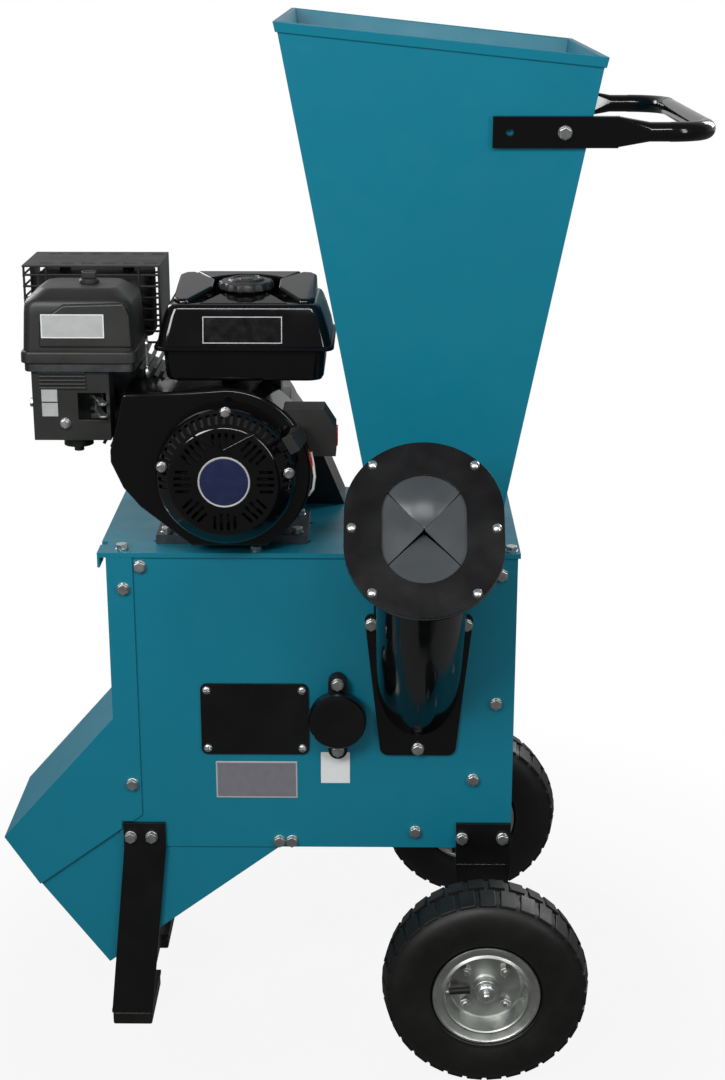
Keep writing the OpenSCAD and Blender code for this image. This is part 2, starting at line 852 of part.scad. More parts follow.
// A flap is one quarter of the slit area without the corners, drawn with its root at the bottom
module flap(half_root, depth, turn) {
    half = half_root * (1 - slit_corner / slit_x) - slit_gap / 2;
    root = -depth + slit_gap / 2;
    tip = -slit_gap / 2 * sqrt(1 + pow(depth / half_root, 2));
    bend = tip - half * depth / half_root;
    at_origin() color(rubber) chute_axis() translate([0, 0, rubber_s]) linear_extrude(flange_t) rotate(turn)
        polygon([[-half, root], [half, root], [half, bend], [0, tip], [-half, bend]]);
}

module flap_top() {
    flap(slit_x, slit_y, 180);
}

module flap_bottom() {
    flap(slit_x, slit_y, 0);
}

module flap_left() {
    flap(slit_y, slit_x, 270);
}

module flap_right() {
    flap(slit_y, slit_x, 90);
}

// Front panel fittings

module inspection_plate() {
    at_origin() color(black) plate_xz(-cover_t, cover_t) difference() {
        translate([plate_x, plate_z]) rounded(plate_w, plate_h, 8);
        holes(plate_screws, screw_hole);
    }
}

function bearing_places() = [for (i = [-1, 1]) [rotor_x, rotor_z + i * bearing_pitch / 2]];

// Two-lug flange bearing, with its foot at local y 0 and its boss towards -y
module flange_bearing() {
    difference() {
        union() {
            plate_xz(-bearing_t, bearing_t) difference() {
                union() {
                    translate([rotor_x, rotor_z]) circle(d = bearing_boss_d);
                    translate([rotor_x, rotor_z]) square([2 * bearing_lug_r, bearing_pitch], center = true);
                    holes(bearing_places(), 2 * bearing_lug_r);
                }
                holes(bearing_places(), bolt_hole);
            }
            bar_y(rotor_x, -bearing_boss_h, rotor_z, bearing_boss_d - 4, bearing_boss_h);
        }
        bar_y(rotor_x, -bearing_boss_h - 1, rotor_z, shaft_d + 2 * run_gap, bearing_boss_h + 2);
    }
}

module shaft_bearings() {
    at_origin() color(grey) {
        flange_bearing();
        translate([0, chamber_d, 0]) mirror([0, 1, 0]) flange_bearing();
    }
}

module bearing_cap() {
    at_origin() color(black) difference() {
        bar_y(rotor_x, -cap_h, rotor_z, bearing_cap_d, cap_h - bearing_t);
        bar_y(rotor_x, -cap_h + cap_wall, rotor_z, bearing_boss_d + 1, cap_h);
    }
}

// Fixed counter blade under the chute's mouth, bolted to the front panel's inner face
module bed_knife() {
    at_origin() color(steel) translate([chute_x - 45, sheet, chute_z - 125])
        cube([70, disc_y - sheet - 9, 12]);
}

// Rotor

module rotor_shaft() {
    at_origin() color(steel) bar_y(rotor_x, shaft_front, rotor_z, shaft_d, shaft_end - shaft_front);
}

module rotor_disc() {
    hub_d = shaft_d + 40;
    at_origin() color(grey) difference() {
        union() {
            bar_y(rotor_x, disc_y, rotor_z, disc_d, disc_t);
            bar_y(rotor_x, disc_y, rotor_z, hub_d, chamber_d - 2 * sheet - disc_y - 12);
        }
        bar_y(rotor_x, disc_y - 1, rotor_z, shaft_d + 2 * run_gap, chamber_d);
    }
}

// Two chipping knives on the disc's face and four shredding blades behind it
module rotor_blades() {
    knife_t = 6;
    knife_w = 36;
    knife_l = disc_d / 2 - 60;
    blade_r = disc_d / 2 - 8;
    blade_y = disc_y + disc_t;
    hub_r = shaft_d / 2 + 20;
    at_origin() color(steel) translate([rotor_x, 0, rotor_z]) {
        for (turn = [0, 180]) rotate([0, turn, 0])
            translate([50, disc_y - knife_t, -knife_w / 2]) cube([knife_l, knife_t, knife_w]);
        for (turn = [45 : 90 : 315]) rotate([0, turn, 0])
            translate([hub_r, blade_y, -5]) cube([blade_r - hub_r, chamber_d - 2 * sheet - blade_y - 20, 10]);
    }
}

// Grooved pulley, with its middle at local y 0
module pulley(x, z, pitch_d, bore_d) {
    groove = pitch_d / 2 - belt_t / 2 - clear_gap;
    out = pitch_d / 2 + pulley_lip;
    half = pulley_w / 2;
    turned_y(x, belt_y, z) polygon([[bore_d / 2 + run_gap, -half], [out, -half], [out, -groove_w / 2],
        [groove, -groove_w / 2], [groove, groove_w / 2], [out, groove_w / 2], [out, half],
        [bore_d / 2 + run_gap, half]]);
}

module rotor_pulley() {
    at_origin() color(grey) pulley(rotor_x, rotor_z, rotor_pulley_d, shaft_d);
}

// Belt outline: the band round two circles
module belt_band(r1, r2) {
    hull() {
        translate([crank_x, crank_z]) circle(r1);
        translate([rotor_x, rotor_z]) circle(r2);
    }
}

module drive_belt() {
    r1 = engine_pulley_d / 2;
    r2 = rotor_pulley_d / 2;
    at_origin() color(rubber) plate_xz(belt_y - belt_w / 2, belt_w) difference() {
        belt_band(r1 + belt_t / 2, r2 + belt_t / 2);
        belt_band(r1 - belt_t / 2, r2 - belt_t / 2);
    }
}

// Black cover over the upper part of the belt, behind the engine
module guard_outline(t) {
    r = engine_pulley_d / 2 + 34 - t;
    slope = (crank_x - rotor_x) / (crank_z - rotor_z);
    right = crank_x + 137;
    translate([crank_x, crank_z]) circle(r);
    polygon([[crank_x - r, crank_z], [crank_x - r, deck_z], [right - t, deck_z],
        [right - t + slope * (crank_h - 10), crank_z - 10], [crank_x + 0.7 * r, crank_z + 0.7 * r],
        [crank_x, crank_z + r]]);
}

module belt_guard() {
    y = block_end + 2;
    t = 2;
    at_origin() color(black) difference() {
        plate_xz(y, body_d - y) guard_outline(0);
        plate_xz(y + t, body_d - y - 2 * t) intersection() {
            guard_outline(t);
            translate([0, deck_z - 1]) square([body_w, body_h]);
        }
        bar_y(crank_x, y - 1, crank_z, 60, t + 2);
        translate([crank_x - 30, y + t, deck_z - 1]) cube([140, body_d - y - 2 * t, t + 2]);
    }
}

// Engine

// Finned cylinder, head and valve cover, leaning to the left from the crankshaft
module cylinder_barrel() {
    translate([crank_x, cylinder_y, crank_z]) rotate([0, cylinder_lean - 90, 0]) {
        translate([-barrel_w / 2, -barrel_w / 2, 40]) cube([barrel_w, barrel_w, head_l - 32]);
        for (i = [0 : 6]) translate([-fin_w / 2, -fin_w / 2, 88 + 10 * i]) cube([fin_w, fin_w, 4]);
        translate([-44, -head_w / 2, head_l]) cube([88, head_w, 26]);
        translate([-36, -38, head_l + 20]) cube([72, 76, 22]);
    }
}

module engine_block() {
    case_w = 136;
    base_w = 188;
    base_y = 33;
    base_d = 104;
    at_origin() color(grey) difference() {
        union() {
            translate([crank_x - base_w / 2, base_y, deck_z]) cube([base_w, base_d, base_t]);
            translate([crank_x - case_w / 2, block_y, deck_z])
                cube([case_w, block_end - block_y, block_top - deck_z]);
            cylinder_barrel();
        }
        bar_y(crank_x, block_y - 40, crank_z, crank_d + 2 * run_gap, block_end);
        for (p = engine_bolts) translate([p[0], p[1], deck_z - 1]) cylinder(d = bolt_hole, h = base_t + 2);
    }
}

// Fan housing outline: a round scroll with a duct towards the cylinder on the left
module blower_outline(t) {
    flat = deck_z + 12 + t;
    intersection() {
        union() {
            translate([crank_x, crank_z]) circle(blower_r - t);
            polygon([[crank_x - 123 + t, deck_z + 202 - t], [crank_x - 139 + 1.2 * t, deck_z + 131],
                [crank_x - 45 + t, flat], [crank_x + 50, flat], [crank_x + 50, crank_z],
                [crank_x, crank_z + blower_r - t], [crank_x - 50, deck_z + 204 - t]]);
        }
        translate([crank_x - 200, flat]) square([400, 300]);
    }
}

module blower_housing() {
    wall = blower_wall;
    depth = block_y - blower_y;
    at_origin() color(black) {
        difference() {
            plate_xz(blower_y, depth) blower_outline(0);
            plate_xz(blower_y + wall, depth) blower_outline(wall);
            bar_y(crank_x, blower_y - 1, crank_z, 2 * recoil_r - 12, wall + 2);
        }
        translate([throttle_x - 3, throttle_y - 12, deck_z + 200]) cube([3, 24, throttle_z - deck_z - 190]);
        translate([throttle_x - 1, throttle_y, throttle_z]) rotate([0, 90, 0])
            cylinder(d = lever_pin_d, h = lever_t + 3);
    }
}

module recoil_cover() {
    depth = blower_y - starter_y;
    wall = 2.5;
    at_origin() color(black) difference() {
        union() {
            turned_y(crank_x, starter_y, crank_z) polygon([[0, 0], [recoil_r - 10, 0], [recoil_r - 3, 6],
                [recoil_r, depth], [recoil_r - wall, depth], [recoil_r - 3 - wall, 6 + wall],
                [recoil_r - 11, wall], [0, wall]]);
            bar_y(crank_x, starter_y + 1, crank_z, post_d, reel_y + reel_w - starter_y + 2);
            pull_line() translate([0, 0, -guide_l]) cylinder(d = guide_d, h = guide_l);
        }
        for (turn = [0 : 15 : 345]) translate([crank_x, starter_y - 1, crank_z]) rotate([0, turn, 0])
            translate([38, 0, -2]) cube([30, wall + 2, 4]);
        pull_line() translate([0, 0, -guide_l - 10]) cylinder(d = rope_d + 2 * clear_gap, h = guide_l + 20);
    }
}

// Local z runs out along the pull line of the starter handle
module pull_line() {
    translate([grip_x, grip_y, grip_z]) rotate([0, 90 - grip_angle, -grip_out]) children();
}

module starter_reel() {
    flange = 3;
    at_origin() color(grey) turned_y(crank_x, reel_y, crank_z) polygon([[post_d / 2 + run_gap, 0],
        [reel_d / 2, 0], [reel_d / 2, flange], [reel_d / 2 - 14, flange], [reel_d / 2 - 14, reel_w - flange],
        [reel_d / 2, reel_w - flange], [reel_d / 2, reel_w], [post_d / 2 + run_gap, reel_w]]);
}

// Pull grip with a short end of rope in the rope mouth
module starter_handle() {
    at_origin() color(black) pull_line() {
        translate([-11, -24, clear_gap]) cube([22, 48, 16]);
        translate([0, 0, -guide_l]) cylinder(d = rope_d, h = guide_l + 3);
    }
}

module crankshaft() {
    front = reel_y + reel_w + 6;
    at_origin() color(steel) bar_y(crank_x, front, crank_z, crank_d, shaft_end - front);
}

module engine_pulley() {
    at_origin() color(grey) pulley(crank_x, crank_z, engine_pulley_d, crank_d);
}

module flywheel() {
    at_origin() color(grey) {
        turned_y(crank_x, blower_y + blower_wall + 6, crank_z) polygon([[crank_d / 2 + run_gap, 0],
            [flywheel_d / 2, 0], [flywheel_d / 2, 26], [flywheel_d / 2 - 12, 26], [flywheel_d / 2 - 20, 12],
            [crank_d / 2 + 14, 12], [crank_d / 2 + 14, 36], [crank_d / 2 + run_gap, 36]]);
    }
}

// A rounded block that narrows upwards, between two levels
module narrowing(w1, d1, z1, w2, d2, z2, r) {
    hull() {
        translate([0, 0, z1]) linear_extrude(0.1) rounded(w1, d1, r, $fn = 32);
        translate([0, 0, z2 - 0.1]) linear_extrude(0.1) rounded(w2, d2, r, $fn = 32);
    }
}

module fuel_tank() {
    wall = 2;
    low_w = tank_w - 24;
    low_d = tank_d - 20;
    shoulder = tank_z + 0.925 * tank_h;
    top = tank_z + tank_h;
    panel_x = tank_w / 2 - 25;
    panel_y = tank_d / 2 - 22;
    at_origin() color(black) {
        translate([tank_x, tank_y + tank_d / 2, 0]) difference() {
            union() {
                translate([0, 0, tank_z]) linear_extrude(seam_z - tank_z) rounded(low_w, low_d, 14);
                translate([0, 0, seam_z - 2]) linear_extrude(4) rounded(tank_w, tank_d, 14);
                narrowing(tank_w - 10, tank_d - 8, seam_z + 2, tank_w - 36, tank_d - 28, shoulder, 14);
                narrowing(tank_w - 36, tank_d - 28, shoulder, tank_w - 46, tank_d - 38, top, 14);
                translate([0, 0, top - 4]) cylinder(d = fuel_cap_d - 14, h = 8);
                for (turn = [0, 180]) rotate(turn) translate([0, 0, top - 1]) linear_extrude(12, scale = 0.94)
                    polygon([[panel_x, -panel_y], [panel_x, panel_y],
                        [fuel_cap_d / 2 + 6, 20], [fuel_cap_d / 2 + 6, -20]]);
            }
            translate([0, 0, tank_z + wall]) linear_extrude(seam_z - tank_z)
                rounded(low_w - 2 * wall, low_d - 2 * wall, 14 - wall);
            narrowing(tank_w - 30, tank_d - 26, seam_z + 1, tank_w - 44, tank_d - 36, shoulder - wall, 12);
            translate([0, 0, shoulder - 2 * wall]) cylinder(d = fuel_cap_d - 22, h = tank_h);
        }
        for (x = [-12, 40]) translate([crank_x + x, block_y + 6, block_top])
            cube([22, 40, tank_z - block_top]);
    }
}

module fuel_cap() {
    skirt = 4;
    cap_h = 13;
    at_origin() color(black) translate([tank_x, tank_y + tank_d / 2, tank_z + tank_h + skirt + clear_gap]) {
        cylinder(d = fuel_cap_d, h = cap_h - 4);
        translate([0, 0, cap_h - 4]) cylinder(d = fuel_cap_d - 14, h = 4);
    }
}

module air_cleaner_cover() {
    wall = 3;
    shoulder = cleaner_z + 0.86 * cleaner_h;
    at_origin() color(black) translate([cleaner_x, cleaner_y + cleaner_d / 2, 0]) difference() {
        union() {
            narrowing(cleaner_w, cleaner_d, cleaner_z, cleaner_w - 10, cleaner_d - 10, shoulder, 12);
            narrowing(cleaner_w - 10, cleaner_d - 10, shoulder, cleaner_w - 44, cleaner_d - 48,
                cleaner_top, 12);
        }
        narrowing(cleaner_w - 2 * wall, cleaner_d - 2 * wall, cleaner_z - 1, cleaner_w - 20, cleaner_d - 20,
            shoulder, 10);
        translate([stud_x - cleaner_x, 0, shoulder - 1]) cylinder(d = stud_d + 2 * clear_gap, h = cleaner_h);
    }
}

module air_cleaner_knob() {
    at_origin() color(black) translate([stud_x, stud_y, cleaner_top + clear_gap]) difference() {
        union() {
            cylinder(d = 24, h = 5);
            translate([-9, -4, 5]) cube([18, 8, 9]);
        }
        translate([0, 0, -1]) cylinder(d = stud_d + 2 * run_gap, h = 12);
    }
}

// Carburettor with its float bowl, intake neck, air cleaner tray and stud
module carburettor() {
    carb_d = 40;
    carb_h = 44;
    neck_y = carb_y + carb_d - 10;
    at_origin() color(grey) {
        translate([carb_x - 24, carb_y, carb_z]) cube([48, carb_d, carb_h]);
        translate([carb_x - 12, carb_y + carb_d / 2, carb_z - 32]) cylinder(d = 36, h = 34);
        translate([carb_x - 12, carb_y + carb_d / 2, carb_z - 40]) cylinder(d = 12, h = 10);
        translate([carb_x, carb_y + carb_d / 2, carb_z + carb_h - 4])
            cylinder(d = 34, h = cleaner_z - tray_t - carb_z - carb_h + 6);
        translate([carb_x + 11, neck_y, carb_z + 6]) cube([22, cylinder_y - head_w / 2 - neck_y, 26]);
        translate([cleaner_x, cleaner_y + cleaner_d / 2, cleaner_z - tray_t]) linear_extrude(tray_t)
            rounded(cleaner_w - 8, cleaner_d - 8, 10);
        translate([stud_x, stud_y, cleaner_z - 2]) cylinder(d = stud_d, h = cleaner_h + 12);
        translate([lever_x, lever_y, fuel_z - 6]) cylinder(d = lever_pin_d, h = choke_z - fuel_z + 14);
        translate([lever_x - 6, lever_y - 6, fuel_z - 10]) cube([12, carb_y - lever_y + 8, 6]);
    }
}

// Cover in front of the carburettor, with a window for the two levers
module control_cover() {
    wall = 3;
    left = carb_x - 55;
    width = 92;
    low = carb_z - 12;
    tall = cleaner_z - tray_t - low;
    front = -8;
    depth = carb_y - front - 1;
    sweep = (lever_y - front) * tan(lever_turn) + lever_w / 2 + 2;
    at_origin() color(black) difference() {
        translate([left, front, low]) cube([width, depth, tall]);
        translate([left + wall, front + wall, low + wall]) cube([width - 2 * wall, depth, tall - 2 * wall]);
        translate([lever_x - sweep, front - 1, fuel_z - 6])
            cube([2 * sweep, wall + 2, choke_z - fuel_z + 18]);
    }
}

// A flat lever on an upright pin, pointing forwards and a little to the right
module cover_lever(z) {
    at_origin() color(steel) translate([lever_x, lever_y, z]) rotate([0, 0, lever_turn])
        linear_extrude(lever_t) difference() {
            union() {
                circle(d = 14);
                translate([-lever_w / 2, -lever_l]) square([lever_w, lever_l]);
                translate([0, -lever_l]) circle(d = 12);
            }
            circle(d = lever_pin_d + 2 * run_gap);
        }
}

module choke_lever() {
    cover_lever(choke_z);
}

module fuel_lever() {
    cover_lever(fuel_z);
}

// Upright lever on a pin along x, beside the tank
module throttle_lever() {
    at_origin() color(steel) translate([throttle_x + clear_gap, throttle_y, throttle_z]) rotate([90, 0, 90])
        linear_extrude(lever_t) difference() {
            union() {
                circle(d = 16);
                translate([-lever_w / 2, 0]) square([lever_w, throttle_l]);
                translate([0, throttle_l]) circle(d = 11);
            }
            circle(d = lever_pin_d + 2 * run_gap);
        }
}

module muffler() {
    can_y = guard_y + guard_d / 2;
    can_z = guard_z + 8;
    pipe_z = crank_z + 60;
    can_h = guard_h - guard_wall - muffler_gap - 8;
    can_w = guard_w - 2 * muffler_gap;
    can_d = guard_d - 2 * muffler_gap;
    wall = 2;
    at_origin() color(grey) {
        difference() {
            union() {
                translate([guard_x, can_y, can_z]) linear_extrude(can_h) rounded(can_w, can_d, 18);
                translate([pipe_x, can_y, pipe_z]) cylinder(d = 30, h = can_z - pipe_z + 1);
            }
            translate([guard_x, can_y, can_z + wall]) linear_extrude(can_h - 2 * wall)
                rounded(can_w - 2 * wall, can_d - 2 * wall, 18 - wall);
            bar_y(guard_x - 40, can_y, can_z + can_h / 2, 24, guard_d);
            cylinder_barrel();
        }
        for (i = [-1, 1]) translate([guard_x + i * 40, can_y, can_z + can_h])
            cylinder(d = 14, h = muffler_gap);
    }
}

// Sheet and wire cage over the muffler, open below
module muffler_guard() {
    t = guard_wall;
    left = guard_x - guard_w / 2;
    edge = 8;
    slot = 10;
    pitch = 16;
    at_origin() color(black) difference() {
        translate([left, guard_y, guard_z]) cube([guard_w, guard_d, guard_h]);
        translate([left + t, guard_y + t, guard_z - 1])
            cube([guard_w - 2 * t, guard_d - 2 * t, guard_h + 1 - t]);
        for (i = [0 : 4]) translate([0, 0, guard_z + edge + pitch * i]) {
            translate([left - 1, guard_y + edge, 0]) cube([guard_w + 2, guard_d - 2 * edge, slot]);
            for (j = [0, 1]) translate([left + edge + j * (guard_w - edge) / 2, guard_y - 1, 0])
                cube([guard_w / 2 - 1.5 * edge, guard_d + 2, slot]);
        }
    }
}

// Box for the ignition switch, beside the fan housing
module switch_box() {
    at_origin() color(black) difference() {
        plate_xz(-5, 40) difference() {
            polygon([[switch_x - 50, switch_z - 28], [switch_x, switch_z - 28], [switch_x, switch_z + 8],
                [switch_x - 14, switch_z + 30], [switch_x - 62, switch_z + 30]]);
            translate([crank_x, crank_z]) circle(blower_r + 0.2);
        }
        translate([switch_x - 6, rocker_y - rocker_w / 2 - bolt_gap, rocker_z - 13])
            cube([8, rocker_w + 2 * bolt_gap, 26]);
        bar_y(switch_x - 1, rocker_y - rocker_w / 2 - 4, rocker_z, rocker_pin + 2 * run_gap, rocker_w + 8);
    }
}

// Stop switch: a rocker on a pin along y
module engine_switch() {
    at_origin() color("#a02a26") {
        translate([switch_x - 4, rocker_y - rocker_w / 2, rocker_z - 11]) cube([6, rocker_w, 22]);
        bar_y(switch_x - 1, rocker_y - rocker_w / 2 - 3, rocker_z, rocker_pin, rocker_w + 6);
    }
}

// Fasteners

// Hex bolt with a washer, its head towards -y and its washer seated at y
module bolt_y(x, y, z, grip) {
    translate([x, y, z]) rotate([90, 0, 0]) {
        cylinder(d = bolt_d * 2, h = washer_t);
        translate([0, 0, washer_t]) cylinder(d = bolt_af / cos(30), h = bolt_head, $fn = 6);
        translate([0, 0, -grip]) cylinder(d = bolt_d, h = grip + 0.1);
    }
}

module bolt_z(p, z, grip) {
    translate([p[0], p[1], z]) {
        cylinder(d = bolt_d * 2, h = washer_t);
        translate([0, 0, washer_t]) cylinder(d = bolt_af / cos(30), h = bolt_head, $fn = 6);
        translate([0, 0, -grip]) cylinder(d = bolt_d, h = grip + 0.1);
    }
}

module hex_bolts() {
    thread = 2 * sheet + 3;
    at_origin() color(steel) {
        for (p = panel_bolts) bolt_y(p[0], 0, p[1], thread);
        for (p = cheek_bolts) bolt_y(p[0], -sheet, p[1], thread + sheet);
        for (p = concat(leg_bolts, bracket_bolts)) bolt_y(p[0], -leg_t, p[1], thread + leg_t);
        for (p = chute_bolts) bolt_y(p[0], -plate_t, p[1], sheet + plate_t);
        for (p = bearing_places()) bolt_y(p[0], -bearing_t, p[1], bearing_t + sheet);
        translate([0, body_d, 0]) mirror([0, 1, 0]) {
            for (p = rear_bolts) bolt_y(p[0], 0, p[1], sheet);
            for (p = concat(leg_bolts, bracket_bolts)) bolt_y(p[0], -leg_t, p[1], sheet + leg_t);
        }
        for (p = deck_bolts) bolt_z(p, deck_z, deck_t);
        for (p = engine_bolts) bolt_z(p, deck_z + base_t, base_t + deck_t);
        front_arm() bolt_y(bolt_arm_x, -strap_t, 0, strap_t + hopper_t + 3);
        rear_arm() bolt_y(bolt_arm_x, -strap_t, 0, strap_t + hopper_t + 3);
    }
}

// Domed screws of the inspection plate and the clamp ring
module screw_z(grip) {
    cylinder(d1 = screw_head, d2 = screw_head * 0.7, h = screw_h);
    translate([0, 0, -grip]) cylinder(d = screw_thread, h = grip + 0.1);
}

module cover_screws() {
    at_origin() color(steel) {
        for (p = plate_screws) translate([p[0], -cover_t, p[1]]) rotate([90, 0, 0]) screw_z(cover_t + sheet);
        for (p = ring_screws) chute_axis() translate([p[0], p[1], ring_end]) screw_z(3 * flange_t);
    }
}

front_panel();
body_wrap();
partition_wall();
rear_cover();
deck();
discharge_hood();
discharge_trough();
hopper_front();
hopper_rear();
hopper_left();
hopper_right();
push_handle();
leg_stand();
rubber_feet();
axle_brackets();
axle();
feed_chute();
chute_rubber();
chute_ring();
inspection_plate();
shaft_bearings();
bearing_cap();
bed_knife();
belt_guard();
drive_belt();
hex_bolts();
cover_screws();
engine_block();
blower_housing();
recoil_cover();
fuel_tank();
air_cleaner_cover();
carburettor();
control_cover();
muffler();
muffler_guard();
switch_box();
near_tyre();
near_rim();
far_tyre();
far_rim();
rotor_shaft();
rotor_disc();
rotor_blades();
rotor_pulley();
crankshaft();
engine_pulley();
flywheel();
starter_reel();
starter_handle();
throttle_lever();
choke_lever();
fuel_lever();
engine_switch();
fuel_cap();
air_cleaner_knob();
flap_top();
flap_bottom();
flap_left();
flap_right();
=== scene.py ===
# %% [markdown]
# # A petrol garden shredder, dressed in Blender
# The machine stands on two air-filled wheels and two rubber feet. A teal sheet body holds the cutting
# rotor, a tall hopper and a slanted branch chute feed it, and a small petrol engine drives it by a belt.
# The CAD model is loaded as a fixed frame. Every piece below is modelled over it, in metres, in the same
# place.

# %% Load the frame
import math

import bpy
from mathutils import Matrix, Vector


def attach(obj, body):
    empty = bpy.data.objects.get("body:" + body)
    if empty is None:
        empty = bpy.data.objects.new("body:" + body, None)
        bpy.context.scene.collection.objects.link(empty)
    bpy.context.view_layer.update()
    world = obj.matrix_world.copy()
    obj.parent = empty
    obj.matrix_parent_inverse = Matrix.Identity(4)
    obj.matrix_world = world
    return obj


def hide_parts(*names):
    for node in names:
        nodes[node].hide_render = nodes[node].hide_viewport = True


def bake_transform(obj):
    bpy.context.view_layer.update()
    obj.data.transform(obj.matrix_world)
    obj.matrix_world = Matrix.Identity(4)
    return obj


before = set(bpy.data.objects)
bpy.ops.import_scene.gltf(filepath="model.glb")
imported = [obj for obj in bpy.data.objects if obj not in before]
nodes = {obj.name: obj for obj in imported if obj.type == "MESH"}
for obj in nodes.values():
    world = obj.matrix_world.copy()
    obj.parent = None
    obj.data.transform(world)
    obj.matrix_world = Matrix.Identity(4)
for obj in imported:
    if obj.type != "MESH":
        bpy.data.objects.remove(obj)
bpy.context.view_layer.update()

# %% [markdown]
# ## The camera
# The photograph was taken from the front, from a little above the hopper's rim, with a long lens. The
# place, tilt and focal length were worked out from known points: wheel, bolts, rim corners and feet. The
# frame is 725 by 1080, so the sensor is fitted to the height.

# %% Camera
CAMERA_PLACE, CAMERA_TILT, CAMERA_TURN, CAMERA_LENS = (0.0543, -2.1968, 1.3754), 71.93, 0.6, 61.04
camera_angles = (math.radians(CAMERA_TILT), 0, math.radians(CAMERA_TURN))
bpy.ops.object.camera_add(location=CAMERA_PLACE, rotation=camera_angles)
camera = bpy.context.object
camera.name = "photo_camera"
camera.data.sensor_fit = "VERTICAL"
camera.data.sensor_height = 36
camera.data.lens = CAMERA_LENS
bpy.context.scene.camera = camera
bpy.context.scene.view_settings.view_transform = "Standard"
print("camera at", CAMERA_PLACE, "with a lens of", CAMERA_LENS, "mm")

# %% [markdown]
# ## Places and simple hand moves
# The part's source counts millimetres from the body's left edge, its front panel and the ground. The same
# counting is kept here, and one function turns such a place into the frame's metres. The other helpers are
# what a hand does all day: select one object, round its edges, cut with a tool.

# %% Places and hand moves
MM = 0.001
MERGE = 0.01 * MM
ORIGIN_X, ORIGIN_Y = 281.0, 67.909
LEFT, RIGHT, FRONT, BACK, UP = (-1, 0, 0), (1, 0, 0), (0, -1, 0), (0, 1, 0), (0, 0, 1)
FACING = 0.9


def spot(x, y, z):
    return Vector(((x - ORIGIN_X) * MM, (y - ORIGIN_Y) * MM, z * MM))


def take(piece):
    if bpy.context.mode != "OBJECT":
        bpy.ops.object.mode_set(mode="OBJECT")
    bpy.ops.object.select_all(action="DESELECT")
    if piece is not None:
        piece.select_set(True)
        bpy.context.view_layer.objects.active = piece
    return piece


def named(name):
    piece = bpy.context.object
    piece.name = name
    piece.data.name = name
    return piece


def settle(piece):
    take(piece)
    bpy.ops.object.transform_apply(location=True, rotation=True, scale=True)
    return piece


def apply_modifiers(piece):
    take(piece)
    for modifier in list(piece.modifiers):
        bpy.ops.object.modifier_apply(modifier=modifier.name)
    return piece


def close_up(piece):
    take(piece)
    bpy.ops.object.mode_set(mode="EDIT")
    bpy.ops.mesh.select_all(action="SELECT")
    bpy.ops.mesh.remove_doubles(threshold=MERGE)
    bpy.ops.mesh.normals_make_consistent(inside=False)
    bpy.ops.object.mode_set(mode="OBJECT")
    return piece


def round_edges(piece, width, segments=2, angle=35):
    take(piece)
    bevel = piece.modifiers.new("rounding", "BEVEL")
    bevel.width = width * MM
    bevel.segments = segments
    bevel.limit_method = "ANGLE"
    bevel.angle_limit = math.radians(angle)
    bevel.use_clamp_overlap = True
    return apply_modifiers(piece)


def combine(piece, tool, operation):
    step = piece.modifiers.new("combine", "BOOLEAN")
    step.operation = operation
    step.solver = "EXACT"
    step.object = tool
    apply_modifiers(piece)
    bpy.data.objects.remove(tool, do_unlink=True)
    return piece


def cut(piece, tool):
    return combine(piece, tool, "DIFFERENCE")


def join(name, pieces):
    take(None)
    for piece in pieces:
        piece.select_set(True)
    bpy.context.view_layer.objects.active = pieces[0]
    bpy.ops.object.join()
    return named(name)


def copy_of(piece):
    take(piece)
    bpy.ops.object.duplicate(linked=False)
    return bpy.context.object


def pick_faces(piece, direction):
    take(piece)
    bpy.ops.object.mode_set(mode="EDIT")
    bpy.ops.mesh.select_mode(type="FACE")
    bpy.ops.mesh.select_all(action="DESELECT")
    bpy.ops.object.mode_set(mode="OBJECT")
    for face in piece.data.polygons:
        face.select = face.normal.dot(Vector(direction)) > FACING
    bpy.ops.object.mode_set(mode="EDIT")


def turn_about(centre, angle, axis):
    return Matrix.Translation(centre) @ Matrix.Rotation(angle, 4, axis) @ Matrix.Translation(-centre)


print("helpers ready; the body's front lower left corner is at", spot(0, 0, 263))

# %% [markdown]
# ## Ways to start a piece
# A block is a cube scaled between two corners. A plate is a drawn outline, pulled out in depth. A turned
# piece is a profile spun about an axis, as on a lathe. A stacked piece is one ring extruded again and
# again, each time to a new ring, which is how pressed tanks and moulded covers are built up.

# %% Ways to start a piece


def block(name, low, high, rounding=0, segments=2):
    a, b = spot(*low), spot(*high)
    take(None)
    bpy.ops.mesh.primitive_cube_add(size=1, location=(a + b) / 2, scale=b - a)
    piece = settle(named(name))
    return round_edges(piece, rounding, segments) if rounding else piece


def drawn_loop(points, fill):
    take(None)
    bpy.ops.mesh.primitive_circle_add(vertices=len(points), radius=1, fill_type=fill)
    piece = bpy.context.object
    for vertex, point in zip(piece.data.vertices, points):
        vertex.co = point
    return piece


def plate(name, points, y0, y1, rounding=0, segments=2):
    drawn_loop([spot(x, y0, z) for x, z in points], "NGON")
    piece = named(name)
    bpy.ops.object.mode_set(mode="EDIT")
    bpy.ops.mesh.select_all(action="SELECT")
    bpy.ops.mesh.extrude_region_move(TRANSFORM_OT_translate={"value": (0, (y1 - y0) * MM, 0)})
    close_up(piece)
    return round_edges(piece, rounding, segments) if rounding else piece


